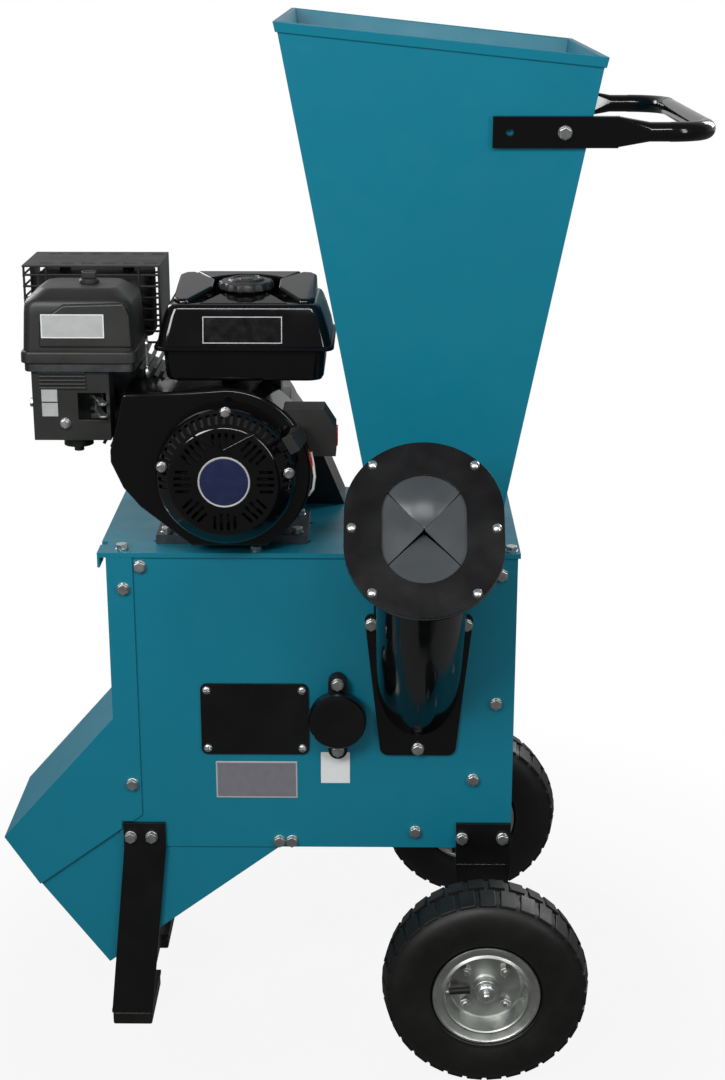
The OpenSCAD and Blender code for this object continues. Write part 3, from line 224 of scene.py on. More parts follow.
def turned(name, profile, centre, axis=BACK, side=RIGHT, steps=64):
    axis, side = Vector(axis).normalized(), Vector(side).normalized()
    drawn_loop([centre + side * (r * MM) + axis * (s * MM) for r, s in profile], "NOTHING")
    piece = named(name)
    bpy.ops.object.mode_set(mode="EDIT")
    bpy.ops.mesh.select_all(action="SELECT")
    bpy.ops.mesh.spin(steps=steps, angle=2 * math.pi, center=centre, axis=axis)
    close_up(piece)
    bpy.ops.object.mode_set(mode="EDIT")
    bpy.ops.mesh.select_all(action="SELECT")
    bpy.ops.mesh.dissolve_degenerate(threshold=MERGE)
    bpy.ops.object.mode_set(mode="OBJECT")
    return piece


def rounded_ring(cx, cy, z, w, d, r, per_corner=6):
    ring = []
    for corner, (i, j) in enumerate([(1, 1), (-1, 1), (-1, -1), (1, -1)]):
        x, y = cx + i * (w / 2 - r), cy + j * (d / 2 - r)
        for k in range(per_corner):
            turn = math.radians(90 * corner + 90 * k / (per_corner - 1))
            ring.append(spot(x + r * math.cos(turn), y + r * math.sin(turn), z))
    return ring


def extrude_to(piece, lower, upper):
    bpy.ops.mesh.extrude_region_move()
    bpy.ops.object.mode_set(mode="OBJECT")
    for vertex in [v for v in piece.data.vertices if v.select]:
        near = min(range(len(lower)), key=lambda i: (lower[i] - vertex.co).length_squared)
        vertex.co = upper[near]
    bpy.ops.object.mode_set(mode="EDIT")


def stacked(name, rings):
    drawn_loop(rings[0], "NGON")
    piece = named(name)
    bpy.ops.object.mode_set(mode="EDIT")
    bpy.ops.mesh.select_mode(type="FACE")
    bpy.ops.mesh.select_all(action="SELECT")
    for lower, upper in zip(rings, rings[1:]):
        extrude_to(piece, lower, upper)
    return close_up(piece)


def wire(name, points, thickness):
    take(None)
    bpy.ops.curve.primitive_bezier_curve_add()
    piece = bpy.context.object
    piece.data.splines.remove(piece.data.splines[0])
    run = piece.data.splines.new("POLY")
    run.points.add(len(points) - 1)
    for dot, point in zip(run.points, points):
        dot.co = (*point, 1)
    piece.data.dimensions = "3D"
    piece.data.bevel_depth = thickness / 2 * MM
    piece.data.bevel_resolution = 4
    piece.data.use_fill_caps = True
    take(piece)
    bpy.ops.object.convert(target="MESH")
    return close_up(settle(named(name)))


# %% [markdown]
# ## Colours and nodes
# Colours are written as sRGB hex values, the way a colour picker shows them, and turned to linear light
# once. A second small function adds a node with its settings and links. Every pattern reads Object
# coordinates, which are metres on this machine, so a pattern that repeats every n millimetres has a scale
# of 1000 / n.

# %% Colours and nodes


def colour(code):
    parts = [int(code[i : i + 2], 16) / 255 for i in (1, 3, 5)]
    return [p / 12.92 if p <= 0.04045 else ((p + 0.055) / 1.055) ** 2.4 for p in parts] + [1.0]


def every(millimetres):
    return 1 / (millimetres * MM)


def add_node(tree, kind, inputs=None, **settings):
    node = tree.nodes.new(kind)
    for key, value in settings.items():
        setattr(node, key, value)
    for key, value in (inputs or {}).items():
        if isinstance(value, bpy.types.NodeSocket):
            tree.links.new(value, node.inputs[key])
        else:
            node.inputs[key].default_value = value
    return node


def start_finish(name, **sockets):
    finish = bpy.data.materials.new(name)
    finish.use_nodes = True
    tree = finish.node_tree
    shader = tree.nodes["Principled BSDF"]
    for key, value in sockets.items():
        shader.inputs[key.replace("_", " ")].default_value = value
    place = add_node(tree, "ShaderNodeTexCoord").outputs["Object"]
    print("finish:", name)
    return finish, tree, shader, place


def surface(tree, shader, base, roughness, normal=None):
    for socket, source in (("Base Color", base), ("Roughness", roughness), ("Normal", normal)):
        if source is not None:
            tree.links.new(source.outputs[0 if socket != "Base Color" else "Result"], shader.inputs[socket])


# %% [markdown]
# ## Teal powder coat
# The sheet metal is sprayed with dry paint and baked. That gives a satin skin with a fine orange peel:
# broad soft highlights that break up a little. Real orange peel is about a millimetre across; it is drawn
# at 2.5 mm so that it shows.

# %% Teal powder coat
NOISE_LOW, NOISE_HIGH = 0.3, 0.7
teal_powder, tree, shader, place = start_finish("teal_powder_coat", IOR=1.45)
clouds = add_node(tree, "ShaderNodeTexNoise", {"Vector": place, "Scale": every(160), "Detail": 3})
base = add_node(tree, "ShaderNodeMix", {
    "Factor": clouds.outputs["Fac"], "A": colour("#067188"), "B": colour("#09788f")}, data_type="RGBA")
wear = add_node(tree, "ShaderNodeTexNoise", {"Vector": place, "Scale": every(30), "Detail": 4})
rough = add_node(tree, "ShaderNodeMapRange", {
    "Value": wear.outputs["Fac"], "From Min": NOISE_LOW, "From Max": NOISE_HIGH,
    "To Min": 0.34, "To Max": 0.42})
peel = add_node(tree, "ShaderNodeTexNoise", {"Vector": place, "Scale": every(2.5), "Detail": 2})
bump = add_node(tree, "ShaderNodeBump", {
    "Height": peel.outputs["Fac"], "Strength": 0.1, "Distance": 0.3 * MM})
surface(tree, shader, base, rough, bump)

# %% [markdown]
# ## Black enamel
# The engine's pressings, the chute and the handle are stove enamelled: smooth, deep and mirror-like, with a
# slight waviness from the pressing, about 15 mm across. A little dust makes the roughness uneven.

# %% Black enamel
black_enamel, tree, shader, place = start_finish("black_stove_enamel", IOR=1.52)
clouds = add_node(tree, "ShaderNodeTexNoise", {"Vector": place, "Scale": every(70), "Detail": 3})
base = add_node(tree, "ShaderNodeMix", {
    "Factor": clouds.outputs["Fac"], "A": colour("#060607"), "B": colour("#0c0c0e")}, data_type="RGBA")
dust = add_node(tree, "ShaderNodeTexNoise", {"Vector": place, "Scale": every(35), "Detail": 5})
rough = add_node(tree, "ShaderNodeMapRange", {
    "Value": dust.outputs["Fac"], "From Min": 0.35, "From Max": 0.75, "To Min": 0.07, "To Max": 0.17})
wave = add_node(tree, "ShaderNodeTexNoise", {"Vector": place, "Scale": every(15), "Detail": 1})
bump = add_node(tree, "ShaderNodeBump", {
    "Height": wave.outputs["Fac"], "Strength": 0.06, "Distance": 0.6 * MM})
surface(tree, shader, base, rough, bump)

# %% [markdown]
# ## Moulded plastic
# Covers and knobs are glass-filled nylon from a spark-eroded mould. The fine pebble grain scatters the
# light, so the charcoal looks matt from every side. The grain is under half a millimetre; it is drawn at
# 1.4 mm.

# %% Moulded plastic
moulded_black, tree, shader, place = start_finish("moulded_charcoal_nylon", IOR=1.53)
clouds = add_node(tree, "ShaderNodeTexNoise", {"Vector": place, "Scale": every(55), "Detail": 4})
base = add_node(tree, "ShaderNodeMix", {
    "Factor": clouds.outputs["Fac"], "A": colour("#1d1d1c"), "B": colour("#282827")}, data_type="RGBA")
rough = add_node(tree, "ShaderNodeMapRange", {
    "Value": clouds.outputs["Fac"], "From Min": NOISE_LOW, "From Max": NOISE_HIGH,
    "To Min": 0.4, "To Max": 0.52})
pebble = add_node(tree, "ShaderNodeTexVoronoi", {"Vector": place, "Scale": every(1.4)}, feature="SMOOTH_F1")
bump = add_node(tree, "ShaderNodeBump", {
    "Height": pebble.outputs["Distance"], "Strength": 0.2, "Distance": 0.4 * MM})
surface(tree, shader, base, rough, bump)

# %% [markdown]
# ## Ground tool steel
# Knives and shafts are ground, which leaves fine parallel lines. They are drawn 12.6 mm apart, so that they
# show. The wave texture's own bands are pi / 10 apart at a scale of 1.

# %% Ground tool steel
ground_steel, tree, shader, place = start_finish("ground_tool_steel", Metallic=1)
clouds = add_node(tree, "ShaderNodeTexNoise", {"Vector": place, "Scale": every(28), "Detail": 4})
base = add_node(tree, "ShaderNodeMix", {
    "Factor": clouds.outputs["Fac"], "A": colour("#8d9092"), "B": colour("#aeb1b3")}, data_type="RGBA")
rough = add_node(tree, "ShaderNodeMapRange", {
    "Value": clouds.outputs["Fac"], "From Min": NOISE_LOW, "From Max": NOISE_HIGH,
    "To Min": 0.22, "To Max": 0.38})
WAVE_PERIOD, LINE_PITCH = math.pi / 10, 12.566
lines = add_node(tree, "ShaderNodeTexWave", {
    "Vector": place, "Scale": WAVE_PERIOD * every(LINE_PITCH), "Distortion": 2}, bands_direction="Z")
bump = add_node(tree, "ShaderNodeBump", {
    "Height": lines.outputs["Fac"], "Strength": 0.06, "Distance": 0.3 * MM})
surface(tree, shader, base, rough, bump)

# %% [markdown]
# ## Finishes with patches and a grain
# The other finishes are built alike, so one function makes them. Broad patches, from 7 to 45 mm across,
# vary the colour and the roughness a little, and a fine grain lifts the surface. Real grain is finer; it is
# drawn 2 to 3.5 mm across, so that it shows. Patches and grain are given as a size in millimetres and an
# amount of detail, and the relief as the bump's strength and its depth in millimetres.

# %% Finishes with patches and a grain


def patchy_finish(name, shades, roughness, patches, grain=None, relief=None, **sockets):
    finish, tree, shader, place = start_finish(name, **sockets)
    dark, light = (colour(code) for code in shades)
    clouds = add_node(tree, "ShaderNodeTexNoise", {
        "Vector": place, "Scale": every(patches[0]), "Detail": patches[1]})
    base = add_node(tree, "ShaderNodeMix", {
        "Factor": clouds.outputs["Fac"], "A": dark, "B": light}, data_type="RGBA")
    rough = add_node(tree, "ShaderNodeMapRange", {
        "Value": clouds.outputs["Fac"], "From Min": NOISE_LOW, "From Max": NOISE_HIGH,
        "To Min": roughness[0], "To Max": roughness[1]})
    bump = None
    if grain:
        fine = add_node(tree, "ShaderNodeTexNoise", {
            "Vector": place, "Scale": every(grain[0]), "Detail": grain[1]})
        bump = add_node(tree, "ShaderNodeBump", {
            "Height": fine.outputs["Fac"], "Strength": relief[0], "Distance": relief[1] * MM})
    surface(tree, shader, base, rough, bump)
    return finish


# %% [markdown]
# ## Satin and heat-proof black
# Legs and brackets have a cheaper satin coat with a coarse grain. The muffler has heat-proof matt paint.

# %% Satin and heat-proof black
satin_black = patchy_finish("satin_black_sheet_paint", ("#08080a", "#101012"), (0.26, 0.4),
                            patches=(45, 5), grain=(2.2, 3), relief=(0.2, 0.4), IOR=1.48)
hot_black = patchy_finish("heat_proof_matt_black", ("#151514", "#232221"), (0.55, 0.75),
                          patches=(35, 5), grain=(2.8, 3), relief=(0.25, 0.5), IOR=1.5)

# %% [markdown]
# ## Rubber
# The tyres and feet are black vulcanised rubber, dull and a little dusty. The chute's sheet is calendered
# between rollers, so it is smoother, and its bulges catch a soft light. Its grey is partly the rubber's own
# colour and partly painted sheen: it is lifted to stand for the light that its smooth face picks up.

# %% Rubber
tyre_rubber = patchy_finish("vulcanised_tyre_rubber", ("#0b0b0a", "#141412"), (0.4, 0.58),
                            patches=(32, 6), grain=(2, 4), relief=(0.3, 0.5), IOR=1.5)
# painted sheen: this grey is lighter than the rubber's own colour, to stand for the light on its smooth face
sheet_rubber_and_sheen = patchy_finish("calendered_rubber_sheet_and_sheen", ("#3c4042", "#4a4e50"), (0.3, 0.42),
                             patches=(40, 4), grain=(3.5, 2), relief=(0.1, 0.5), IOR=1.52)

# %% [markdown]
# ## Plated and galvanised steel
# Bolts and screws are zinc plated: bright and slightly cloudy. The rims are pressed from galvanised sheet,
# duller, with soft patches of 20 mm. Both take their look from metallic 1 and an uneven roughness.

# %% Plated and galvanised steel
zinc_plate = patchy_finish("bright_zinc_plate", ("#c9cbca", "#e6e8e7"), (0.28, 0.44),
                           patches=(7, 3), Metallic=1)
galvanised = patchy_finish("galvanised_rim_steel", ("#b7bab6", "#d3d6d2"), (0.36, 0.5),
                           patches=(20, 5), grain=(3, 3), relief=(0.05, 0.4), Metallic=1)

# %% [markdown]
# ## Castings
# The engine is die-cast aluminium, grainy and grey. Its grey is darker than bare metal, partly for age and
# partly as painted shade, because the block sits in shade under the tank. Bearings and pulleys are cast iron
# with an oily skin.

# %% Castings
# painted shade: the alloy's grey is darker than bare aluminium, partly for age and partly for the shade under
# the tank
alloy_with_painted_shade = patchy_finish("die_cast_aluminium_painted_shade", ("#4b4e50", "#686b6d"), (0.42, 0.58),
                           patches=(16, 5), grain=(2, 4), relief=(0.35, 0.5), Metallic=1)
cast_iron = patchy_finish("oiled_cast_iron", ("#1f2021", "#333435"), (0.4, 0.58),
                          patches=(20, 5), grain=(2.6, 4), relief=(0.4, 0.7), Metallic=0.7)

# %% [markdown]
# ## Foil, vinyl and coloured plastic
# The machine's labels are plain film: grey foil, white and silver vinyl, a dark label and a blue emblem.
# Stuck-on film is never perfectly even, so each has faint patches of about 11 mm. The switch and wire
# sleeves are soft coloured plastic.

# %% Foil, vinyl and coloured plastic


def film(name, dark, light, roughness, metallic=0.0):
    return patchy_finish(name, (dark, light), (roughness - 0.05, roughness + 0.07),
                         patches=(11, 3), Metallic=metallic, IOR=1.48)


grey_foil = film("grey_foil_plate", "#77777f", "#85858c", 0.36, 0.2)
pale_foil = film("pale_foil_edge", "#b4b4b8", "#c3c3c7", 0.34, 0.2)
white_vinyl = film("white_vinyl_sticker", "#dce0e0", "#e8eaea", 0.4)
silver_vinyl = film("silver_vinyl_sticker", "#a9abab", "#bcbebe", 0.38, 0.1)
dark_vinyl = film("dark_vinyl_label", "#070708", "#0c0c0d", 0.2)
emblem_blue = film("blue_emblem_lacquer", "#1b2342", "#222a4b", 0.24)
red_plastic = film("red_switch_plastic", "#8e1f1c", "#a32723", 0.35)
red_wire = film("red_wire_sleeve", "#9c1f25", "#b0272c", 0.42)
white_wire = film("white_wire_sleeve", "#d6d6d2", "#e4e4e0", 0.42)
print("finishes:", len(bpy.data.materials))

# %% [markdown]
# ## Dressing a piece
# Each piece gets its finish, smooth shading up to a chosen angle, the body that it rides on and the CAD nodes
# that it stands for, which are hidden. Sheet and cast pieces whose CAD shape is already right are copied,
# their loose triangles are merged and dissolved back to flat faces, and their sharp edges get a small real
# radius.

# %% Dressing a piece


def dress(piece, finish, body="frame", stands_for=(), smooth=35, bend=None):
    settle(piece)
    piece.data.materials.clear()
    piece.data.materials.append(finish)
    take(piece)
    bpy.ops.object.shade_smooth_by_angle(angle=math.radians(smooth))
    even = piece.modifiers.new("even_flats", "WEIGHTED_NORMAL")
    even.keep_sharp = True
    apply_modifiers(piece)
    if bend:
        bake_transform(piece)
    else:
        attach(piece, body)
    if stands_for:
        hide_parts(*stands_for)
    print(piece.name, "rides on", body, "in", finish.name, "with", len(piece.data.polygons), "faces")
    return piece


def cad_copy(node):
    nodes[node].select_set(False)
    piece = bpy.data.objects.new("dressed_" + node, nodes[node].data.copy())
    bpy.context.scene.collection.objects.link(piece)
    take(piece)
    bpy.ops.object.mode_set(mode="EDIT")
    bpy.ops.mesh.select_all(action="SELECT")
    bpy.ops.mesh.remove_doubles(threshold=2 * MERGE)
    bpy.ops.mesh.dissolve_limited(angle_limit=math.radians(0.5))
    bpy.ops.object.mode_set(mode="OBJECT")
    if piece.data.attributes.get("sharp_edge"):
        piece.data.attributes.remove(piece.data.attributes["sharp_edge"])
    return piece


def softened(node, finish, width, segments=2, body="frame"):
    piece = round_edges(cad_copy(node), width, segments)
    return dress(piece, finish, body, [node])


def keep_node(node, finish):
    piece = nodes[node]
    piece.data.materials.clear()
    piece.data.materials.append(finish)


# %% [markdown]
# ## The sheet body and the hopper
# Panels, hood, trough and deck are folded sheet. Their edges were cut and coated, so a radius of about a
# millimetre is enough to catch the light. The hopper's rim is folded outwards into a narrow hem, which
# stiffens it.

# %% Sheet body
sheet_edges = {"front_panel": 0.6, "body_wrap": 0.8, "rear_cover": 0.8, "deck": 1.2, "discharge_hood": 0.7,
               "discharge_trough": 0.7, "hopper_front": 0.8, "hopper_rear": 0.8, "hopper_left": 0.8,
               "hopper_right": 0.8}
for node, width in sheet_edges.items():
    softened(node, teal_powder, width)
keep_node("partition_wall", teal_powder)

# %% Hopper hem
THROAT_X, THROAT_Y, THROAT_W, THROAT_D, DECK_Z, HOPPER_H = 333, 20, 143, 145, 664, 630
FLARE_LEFT, FLARE_RIGHT, FLARE_FRONT, FLARE_BACK = 114, 111, 90, 191
RIM_LEFT_Z, RIM_RIGHT_Z = 1294, 1256
rim_corners = [(0, 0, RIM_LEFT_Z), (0, 1, RIM_LEFT_Z), (1, 1, RIM_RIGHT_Z), (1, 0, RIM_RIGHT_Z)]
hem_section = [(11, 0.2), (11, 2.4), (-0.6, 2.9), (-0.6, -3.1), (2.5, -3.1), (2.5, 0.2)]


def hopper_corner(i, j, z, out):
    rise = (z - DECK_Z) / HOPPER_H
    x = THROAT_X + THROAT_W + FLARE_RIGHT * rise + out if i else THROAT_X - FLARE_LEFT * rise - out
    y = THROAT_Y + THROAT_D + FLARE_BACK * rise + out if j else THROAT_Y - FLARE_FRONT * rise - out
    return spot(x, y, z)


hem_rings = [[hopper_corner(i, j, z - drop, out) for i, j, z in rim_corners] for drop, out in hem_section]
drawn_loop(hem_rings[0], "NOTHING")
hem = named("hopper_hem")
bpy.ops.object.mode_set(mode="EDIT")
bpy.ops.mesh.select_mode(type="EDGE")
bpy.ops.mesh.select_all(action="SELECT")
for lower, upper in zip(hem_rings, hem_rings[1:] + hem_rings[:1]):
    extrude_to(hem, lower, upper)
close_up(hem)
round_edges(hem, 0.9, 3, 30)
dress(hem, teal_powder)

# %% [markdown]
# ## Hex bolts
# All bolts are M8 with a plain washer. One is modelled, head up at the origin: a chamfered six-sided head
# from a six-sided cylinder, a turned washer and a short shank. It is then copied to every place and the
# copies are joined.

# %% One bolt, and the placing of copies


def placed(piece, centre, axis):
    twin = copy_of(piece)
    turn = Vector((0, 0, 1)).rotation_difference(Vector(axis).normalized()).to_matrix().to_4x4()
    twin.matrix_world = Matrix.Translation(centre) @ turn
    return settle(twin)


def hex_head(name, width, height, lift):
    take(None)
    bpy.ops.mesh.primitive_cylinder_add(
        vertices=6, radius=width / 2 / math.cos(math.pi / 6) * MM, depth=height * MM,
        location=(0, 0, (lift + height / 2) * MM))
    head = settle(named(name))
    pick_faces(head, UP)
    bpy.ops.mesh.inset(thickness=width * 0.07 * MM)
    bpy.ops.object.mode_set(mode="OBJECT")
    for face in head.data.polygons:
        if face.select:
            for i in face.vertices:
                head.data.vertices[i].co.z += height * 0.1 * MM
    return round_edges(head, 0.35, 2, 20)


def ring_profile(r0, r1, z0, z1, edge):
    return [(r0, z0), (r1 - edge, z0), (r1, z0 + edge), (r1, z1 - edge), (r1 - edge, z1), (r0, z1)]


SHANK_R, WASHER_R, WASHER_T, HEAD_W, HEAD_H = 3.9, 8, 1.6, 13, 4.6
zero = Vector((0, 0, 0))
washer = turned("washer", ring_profile(SHANK_R, WASHER_R, 0, WASHER_T, 0.4), zero, UP, steps=32)
shank = turned("shank", ring_profile(0.5, SHANK_R, -8, 2, 0.4), zero, UP, steps=20)
one_bolt = join("one_bolt", [hex_head("bolt_head", HEAD_W, HEAD_H, WASHER_T), washer, shank])

# %% Every hex bolt of the machine
STAND_Z, ENGINE_Z, HANDLE_X, HANDLE_Z, STRAP_T = 279, 676, 538, 1176, 5
panel_bolts = [(39, 646), (206, 272), (222, 272), (381, 286), (454, 360), (481, 465), (484.5, 636)]
bolt_places = [((x, 0, z), FRONT) for x, z in panel_bolts]
bolt_places += [((x, -2.5, z), FRONT) for x, z in [(18, 618), (19, 353)]]
for x in (14, 41, 441, 493):
    bolt_places += [((x, -5, STAND_Z), FRONT), ((x, 289, STAND_Z), BACK)]
bolt_places += [((x, -4, z), FRONT) for x, z in [(324, 572), (442, 572), (383, 404)]]
bolt_places += [((282, -12, z), FRONT) for z in (405, 495)]
bolt_places += [((x, 284, z), BACK) for x, z in [(20, 638), (484, 638), (252, 638), (252, 279)]]
bolt_places += [((x, y, DECK_Z), UP) for x, y in [(16, 14), (182, 10), (496, 10), (496, 244), (16, 260)]]
bolt_places += [((x, y, ENGINE_Z), UP) for x in (69, 231) for y in (45, 121)]
for wall_y, flare, out in ((-53.64, FLARE_FRONT, -1), (320.73, FLARE_BACK, 1)):
    lean = math.atan2(flare, HOPPER_H)
    away = (0, out * math.cos(lean), -math.sin(lean))
    bolt_places.append(((HANDLE_X, wall_y + STRAP_T * away[1], HANDLE_Z + STRAP_T * away[2]), away))
bolts = join("hex_bolts_dressed", [placed(one_bolt, spot(*place), axis) for place, axis in bolt_places])
dress(bolts, zinc_plate, stands_for=["hex_bolts"])
print("bolts:", len(bolt_places))

# %% [markdown]
# ## Cover screws
# The inspection plate and the clamp ring are held by low domed screws with a slot across the head. The dome
# is a turned profile; the slot is cut with a thin block.

# %% Cover screws
CHUTE_X, CHUTE_Z, CHUTE_TILT, RING_S = 383, 550, math.radians(45), 304
CHUTE_UP = (0, math.cos(CHUTE_TILT), math.sin(CHUTE_TILT))
CHUTE_OUT = (0, -math.sin(CHUTE_TILT), math.cos(CHUTE_TILT))
COVER_X, COVER_Z = 177, 443


def on_chute(x, y, s):
    depth = CHUTE_UP[1] * y + CHUTE_OUT[1] * s
    return spot(CHUTE_X + x, depth, CHUTE_Z + CHUTE_UP[2] * y + CHUTE_OUT[2] * s)


dome_profile = [(0.3, -4), (2, -4), (2, 0), (5.6, 0), (5.5, 0.9), (4.9, 2), (3.6, 2.9),
                (1.8, 3.4), (0.3, 3.5)]
dome = turned("dome_screw", dome_profile, zero, UP, steps=32)
cut(dome, block("slot_tool", (ORIGIN_X - 4.4, ORIGIN_Y - 0.6, 2.3), (ORIGIN_X + 4.4, ORIGIN_Y + 0.6, 6)))
screw_places = [(spot(COVER_X + i * 60, -3, COVER_Z + j * 39.5), FRONT) for i in (-1, 1) for j in (-1, 1)]
clamp_screws = [(-80, 0), (80, 0), (-57, 79), (57, 79), (-57, -79), (57, -79)]
screw_places += [(on_chute(x, y, RING_S), CHUTE_OUT) for x, y in clamp_screws]
screws = join("cover_screws_dressed", [placed(dome, centre, axis) for centre, axis in screw_places])
dress(screws, zinc_plate, stands_for=["cover_screws"])
for master in (one_bolt, dome):
    bpy.data.objects.remove(master, do_unlink=True)

# %% [markdown]
# ## Stand, brackets and handle
# The legs and axle brackets are thick flame-cut plate, painted satin black. The handle is one bent tube
# with flattened ends. Their CAD shapes are right, so they are copied and only their edges are rounded. The
# weld bead on the near bracket is a wire with a slight waver.

# %% Stand, brackets and handle
for node, width in [("leg_stand", 1.2), ("axle_brackets", 1.2), ("belt_guard", 2)]:
    softened(node, satin_black, width)
softened("push_handle", black_enamel, 0.8)
softened("rubber_feet", tyre_rubber, 2.5, 3)
WELD_X, WELD_Z, WELD_STEP, WAVER = 436, 241, 2.5, 0.5
bead = [spot(WELD_X + WELD_STEP * k, -5 - WAVER * (k % 2), WELD_Z + WAVER * math.sin(1.9 * k))
        for k in range(27)]
dress(wire("bracket_weld", bead, 3.6), black_enamel, smooth=60)

# %% [markdown]
# ## Branch chute
# Branches are pushed down a slanted tube of oval section, welded to a base plate. The plate's corners are
# rounded, so that nobody gets scratched. The tube is stacked from its foot on the plate to its mouth,
# joined to plate and flange, and bored through. A flat ring with six screws clamps the rubber sheet over
# the tube's mouth.

# %% Chute tube and clamp ring
FLANGE_S, FLANGE_T, FLANGE_W, FLANGE_H, PLATE_T, NECK, CORNER_R = 298, 3, 177, 217, 4, 56, 9
TUBE_W, TUBE_H, TUBE_WALL, TUBE_DROP = 106, 136, 2.5, 29
turns = [2 * math.pi * i / 96 for i in range(96)]
downhill = (spot(CHUTE_X, 0, CHUTE_Z - TUBE_DROP) - on_chute(0, 0, FLANGE_S)).normalized()


def stadium(turn, w, h):
    half, straight = w / 2, (h - w) / 2
    c, s = abs(math.cos(turn)), abs(math.sin(turn))
    if c and half / c * s <= straight:
        return half / c
    return straight * s + math.sqrt(half * half - (straight * c) ** 2)


def chute_ring_at(w, h, s):
    return [on_chute(stadium(t, w, h) * math.cos(t), stadium(t, w, h) * math.sin(t), s) for t in turns]


def sloping_tube(name, w, h, beyond, foot_y):
    mouth = chute_ring_at(w, h, FLANGE_S)
    foot = [p + downhill * ((spot(0, foot_y, 0).y - p.y) / downhill.y) for p in mouth]
    return stacked(name, [foot, [p - downhill * (beyond * MM) for p in mouth]])


outline = [(47, 395), (68, 585), (NECK, 585), (NECK, 652)]
outline = [(CHUTE_X + x, z) for x, z in outline] + [(CHUTE_X - x, z) for x, z in reversed(outline)]
chute = plate("feed_chute_dressed", outline, -PLATE_T, 0)
take(chute)
bpy.ops.object.mode_set(mode="EDIT")
bpy.ops.mesh.select_mode(type="EDGE")
bpy.ops.mesh.select_all(action="DESELECT")
bpy.ops.object.mode_set(mode="OBJECT")
for edge in chute.data.edges:
    a, b = (chute.data.vertices[i].co for i in edge.vertices)
    side = abs(a.x - spot(CHUTE_X, 0, 0).x) / MM
    edge.select = abs(a.y - b.y) > 1 * MM and abs(side - NECK) > 1
print("plate corners:", sum(edge.select for edge in chute.data.edges))
bpy.ops.object.mode_set(mode="EDIT")
bpy.ops.mesh.bevel(offset=CORNER_R * MM, segments=6)
combine(chute, sloping_tube("tube", TUBE_W, TUBE_H, -FLANGE_T / 2, -PLATE_T / 4), "UNION")
flange = stacked("flange", [chute_ring_at(FLANGE_W, FLANGE_H, s) for s in (FLANGE_S - FLANGE_T, FLANGE_S)])
combine(chute, flange, "UNION")
cut(chute, sloping_tube("bore", TUBE_W - 2 * TUBE_WALL, TUBE_H - 2 * TUBE_WALL, 12, 20))
round_edges(chute, 0.7)
dress(chute, black_enamel, stands_for=["feed_chute"])
softened("chute_ring", satin_black, 1.0, 3)

# %% [markdown]
# ## Slit rubber
# The sheet under the ring is cut in an X. Each quarter is drawn from the ring's edge to the middle: the upper
# one bulges outwards, the lower one has been pushed in by the last branch. Rubber has no hinge. Each quarter
# is left in place, not attached to a body, and the span where it would bend is worked out but not used.

# %% Slit rubber
OVAL_W, OVAL_H, RUBBER_S, FLAP_T = 94, 134, 299.5, 2.6
SLIT_TURN, TIP_GAP, TUCK = 0.012, 0.8, 2.9
hole = stacked("sheet_tool", [chute_ring_at(OVAL_W + 6, OVAL_H + 6, s) for s in (295, 305)])
sheet = round_edges(cut(cad_copy("chute_rubber"), hole), 0.3, 1)
dress(sheet, sheet_rubber_and_sheen, stands_for=["chute_rubber"])


def flap(name, middle, spread, tip, bulge, root):
    take(None)
    bpy.ops.mesh.primitive_grid_add(x_subdivisions=36, y_subdivisions=24, size=2)
    piece = named("dressed_" + name)
    middle, spread = math.radians(middle), math.radians(spread) - SLIT_TURN
    for vertex in piece.data.vertices:
        u, v = vertex.co.x, (vertex.co.y + 1) / 2
        edge = stadium(middle + u * spread, OVAL_W + 2 * TUCK, OVAL_H + 2 * TUCK)
        reach = TIP_GAP + (1 - v) * (edge - TIP_GAP)
        turn = middle + u * spread * (1 if v < 0.97 else 0.5)
        swell = math.sin(math.pi * min(1, 1.1 * v)) ** 2 * (1 - u * u)
        s = RUBBER_S + tip * v * v + bulge * swell
        vertex.co = on_chute(reach * math.cos(turn), reach * math.sin(turn), s)
    skin = piece.modifiers.new("thickness", "SOLIDIFY")
    skin.thickness = FLAP_T * MM
    skin.offset = 0
    close_up(apply_modifiers(piece))
    round_edges(piece, 0.4, 1, 60)
    out = (math.cos(middle), math.sin(middle))
    bend = [on_chute(out[0] * r, out[1] * r, RUBBER_S) for r in (root + 5, root - 9)]
    return dress(piece, sheet_rubber_and_sheen, name, [name], 60, bend)


flap("flap_top", 90, 41.8, 1.0, 5.5, 43)
flap("flap_bottom", 270, 41.8, -11, -1.5, 43)
flap("flap_left", 180, 48.2, 0.4, 1.2, 38.5)
flap("flap_right", 0, 48.2, 0.2, 1.0, 38.5)

# %% [markdown]
# ## Front panel fittings
# A screwed plate closes an inspection hole. Beside it a two-lug flange bearing carries the rotor; its
# pressed cap is a shallow tin. The rating plate is embossed foil: its face is inset and pushed in a little,
# inside a pale edge. The sticker is plain vinyl.

# %% Front panel fittings
softened("inspection_plate", satin_black, 0.9, 3)
softened("shaft_bearings", cast_iron, 1.2, 3)
tin = [(0.3, -31), (30, -31), (34, -30), (35.6, -28), (36, -25), (36, -12), (33.4, -12), (33.4, -24),
       (32, -27.5), (29, -28.4), (0.3, -28.4)]
cap = turned("bearing_cap_dressed", tin, spot(282, 0, 450), steps=72)
dress(cap, satin_black, stands_for=["bearing_cap"])


def recess(piece, edge, depth):
    pick_faces(piece, FRONT)
    bpy.ops.mesh.inset(thickness=edge * MM)
    bpy.ops.mesh.extrude_region_move(TRANSFORM_OT_translate={"value": (0, depth * MM, 0)})
    return piece


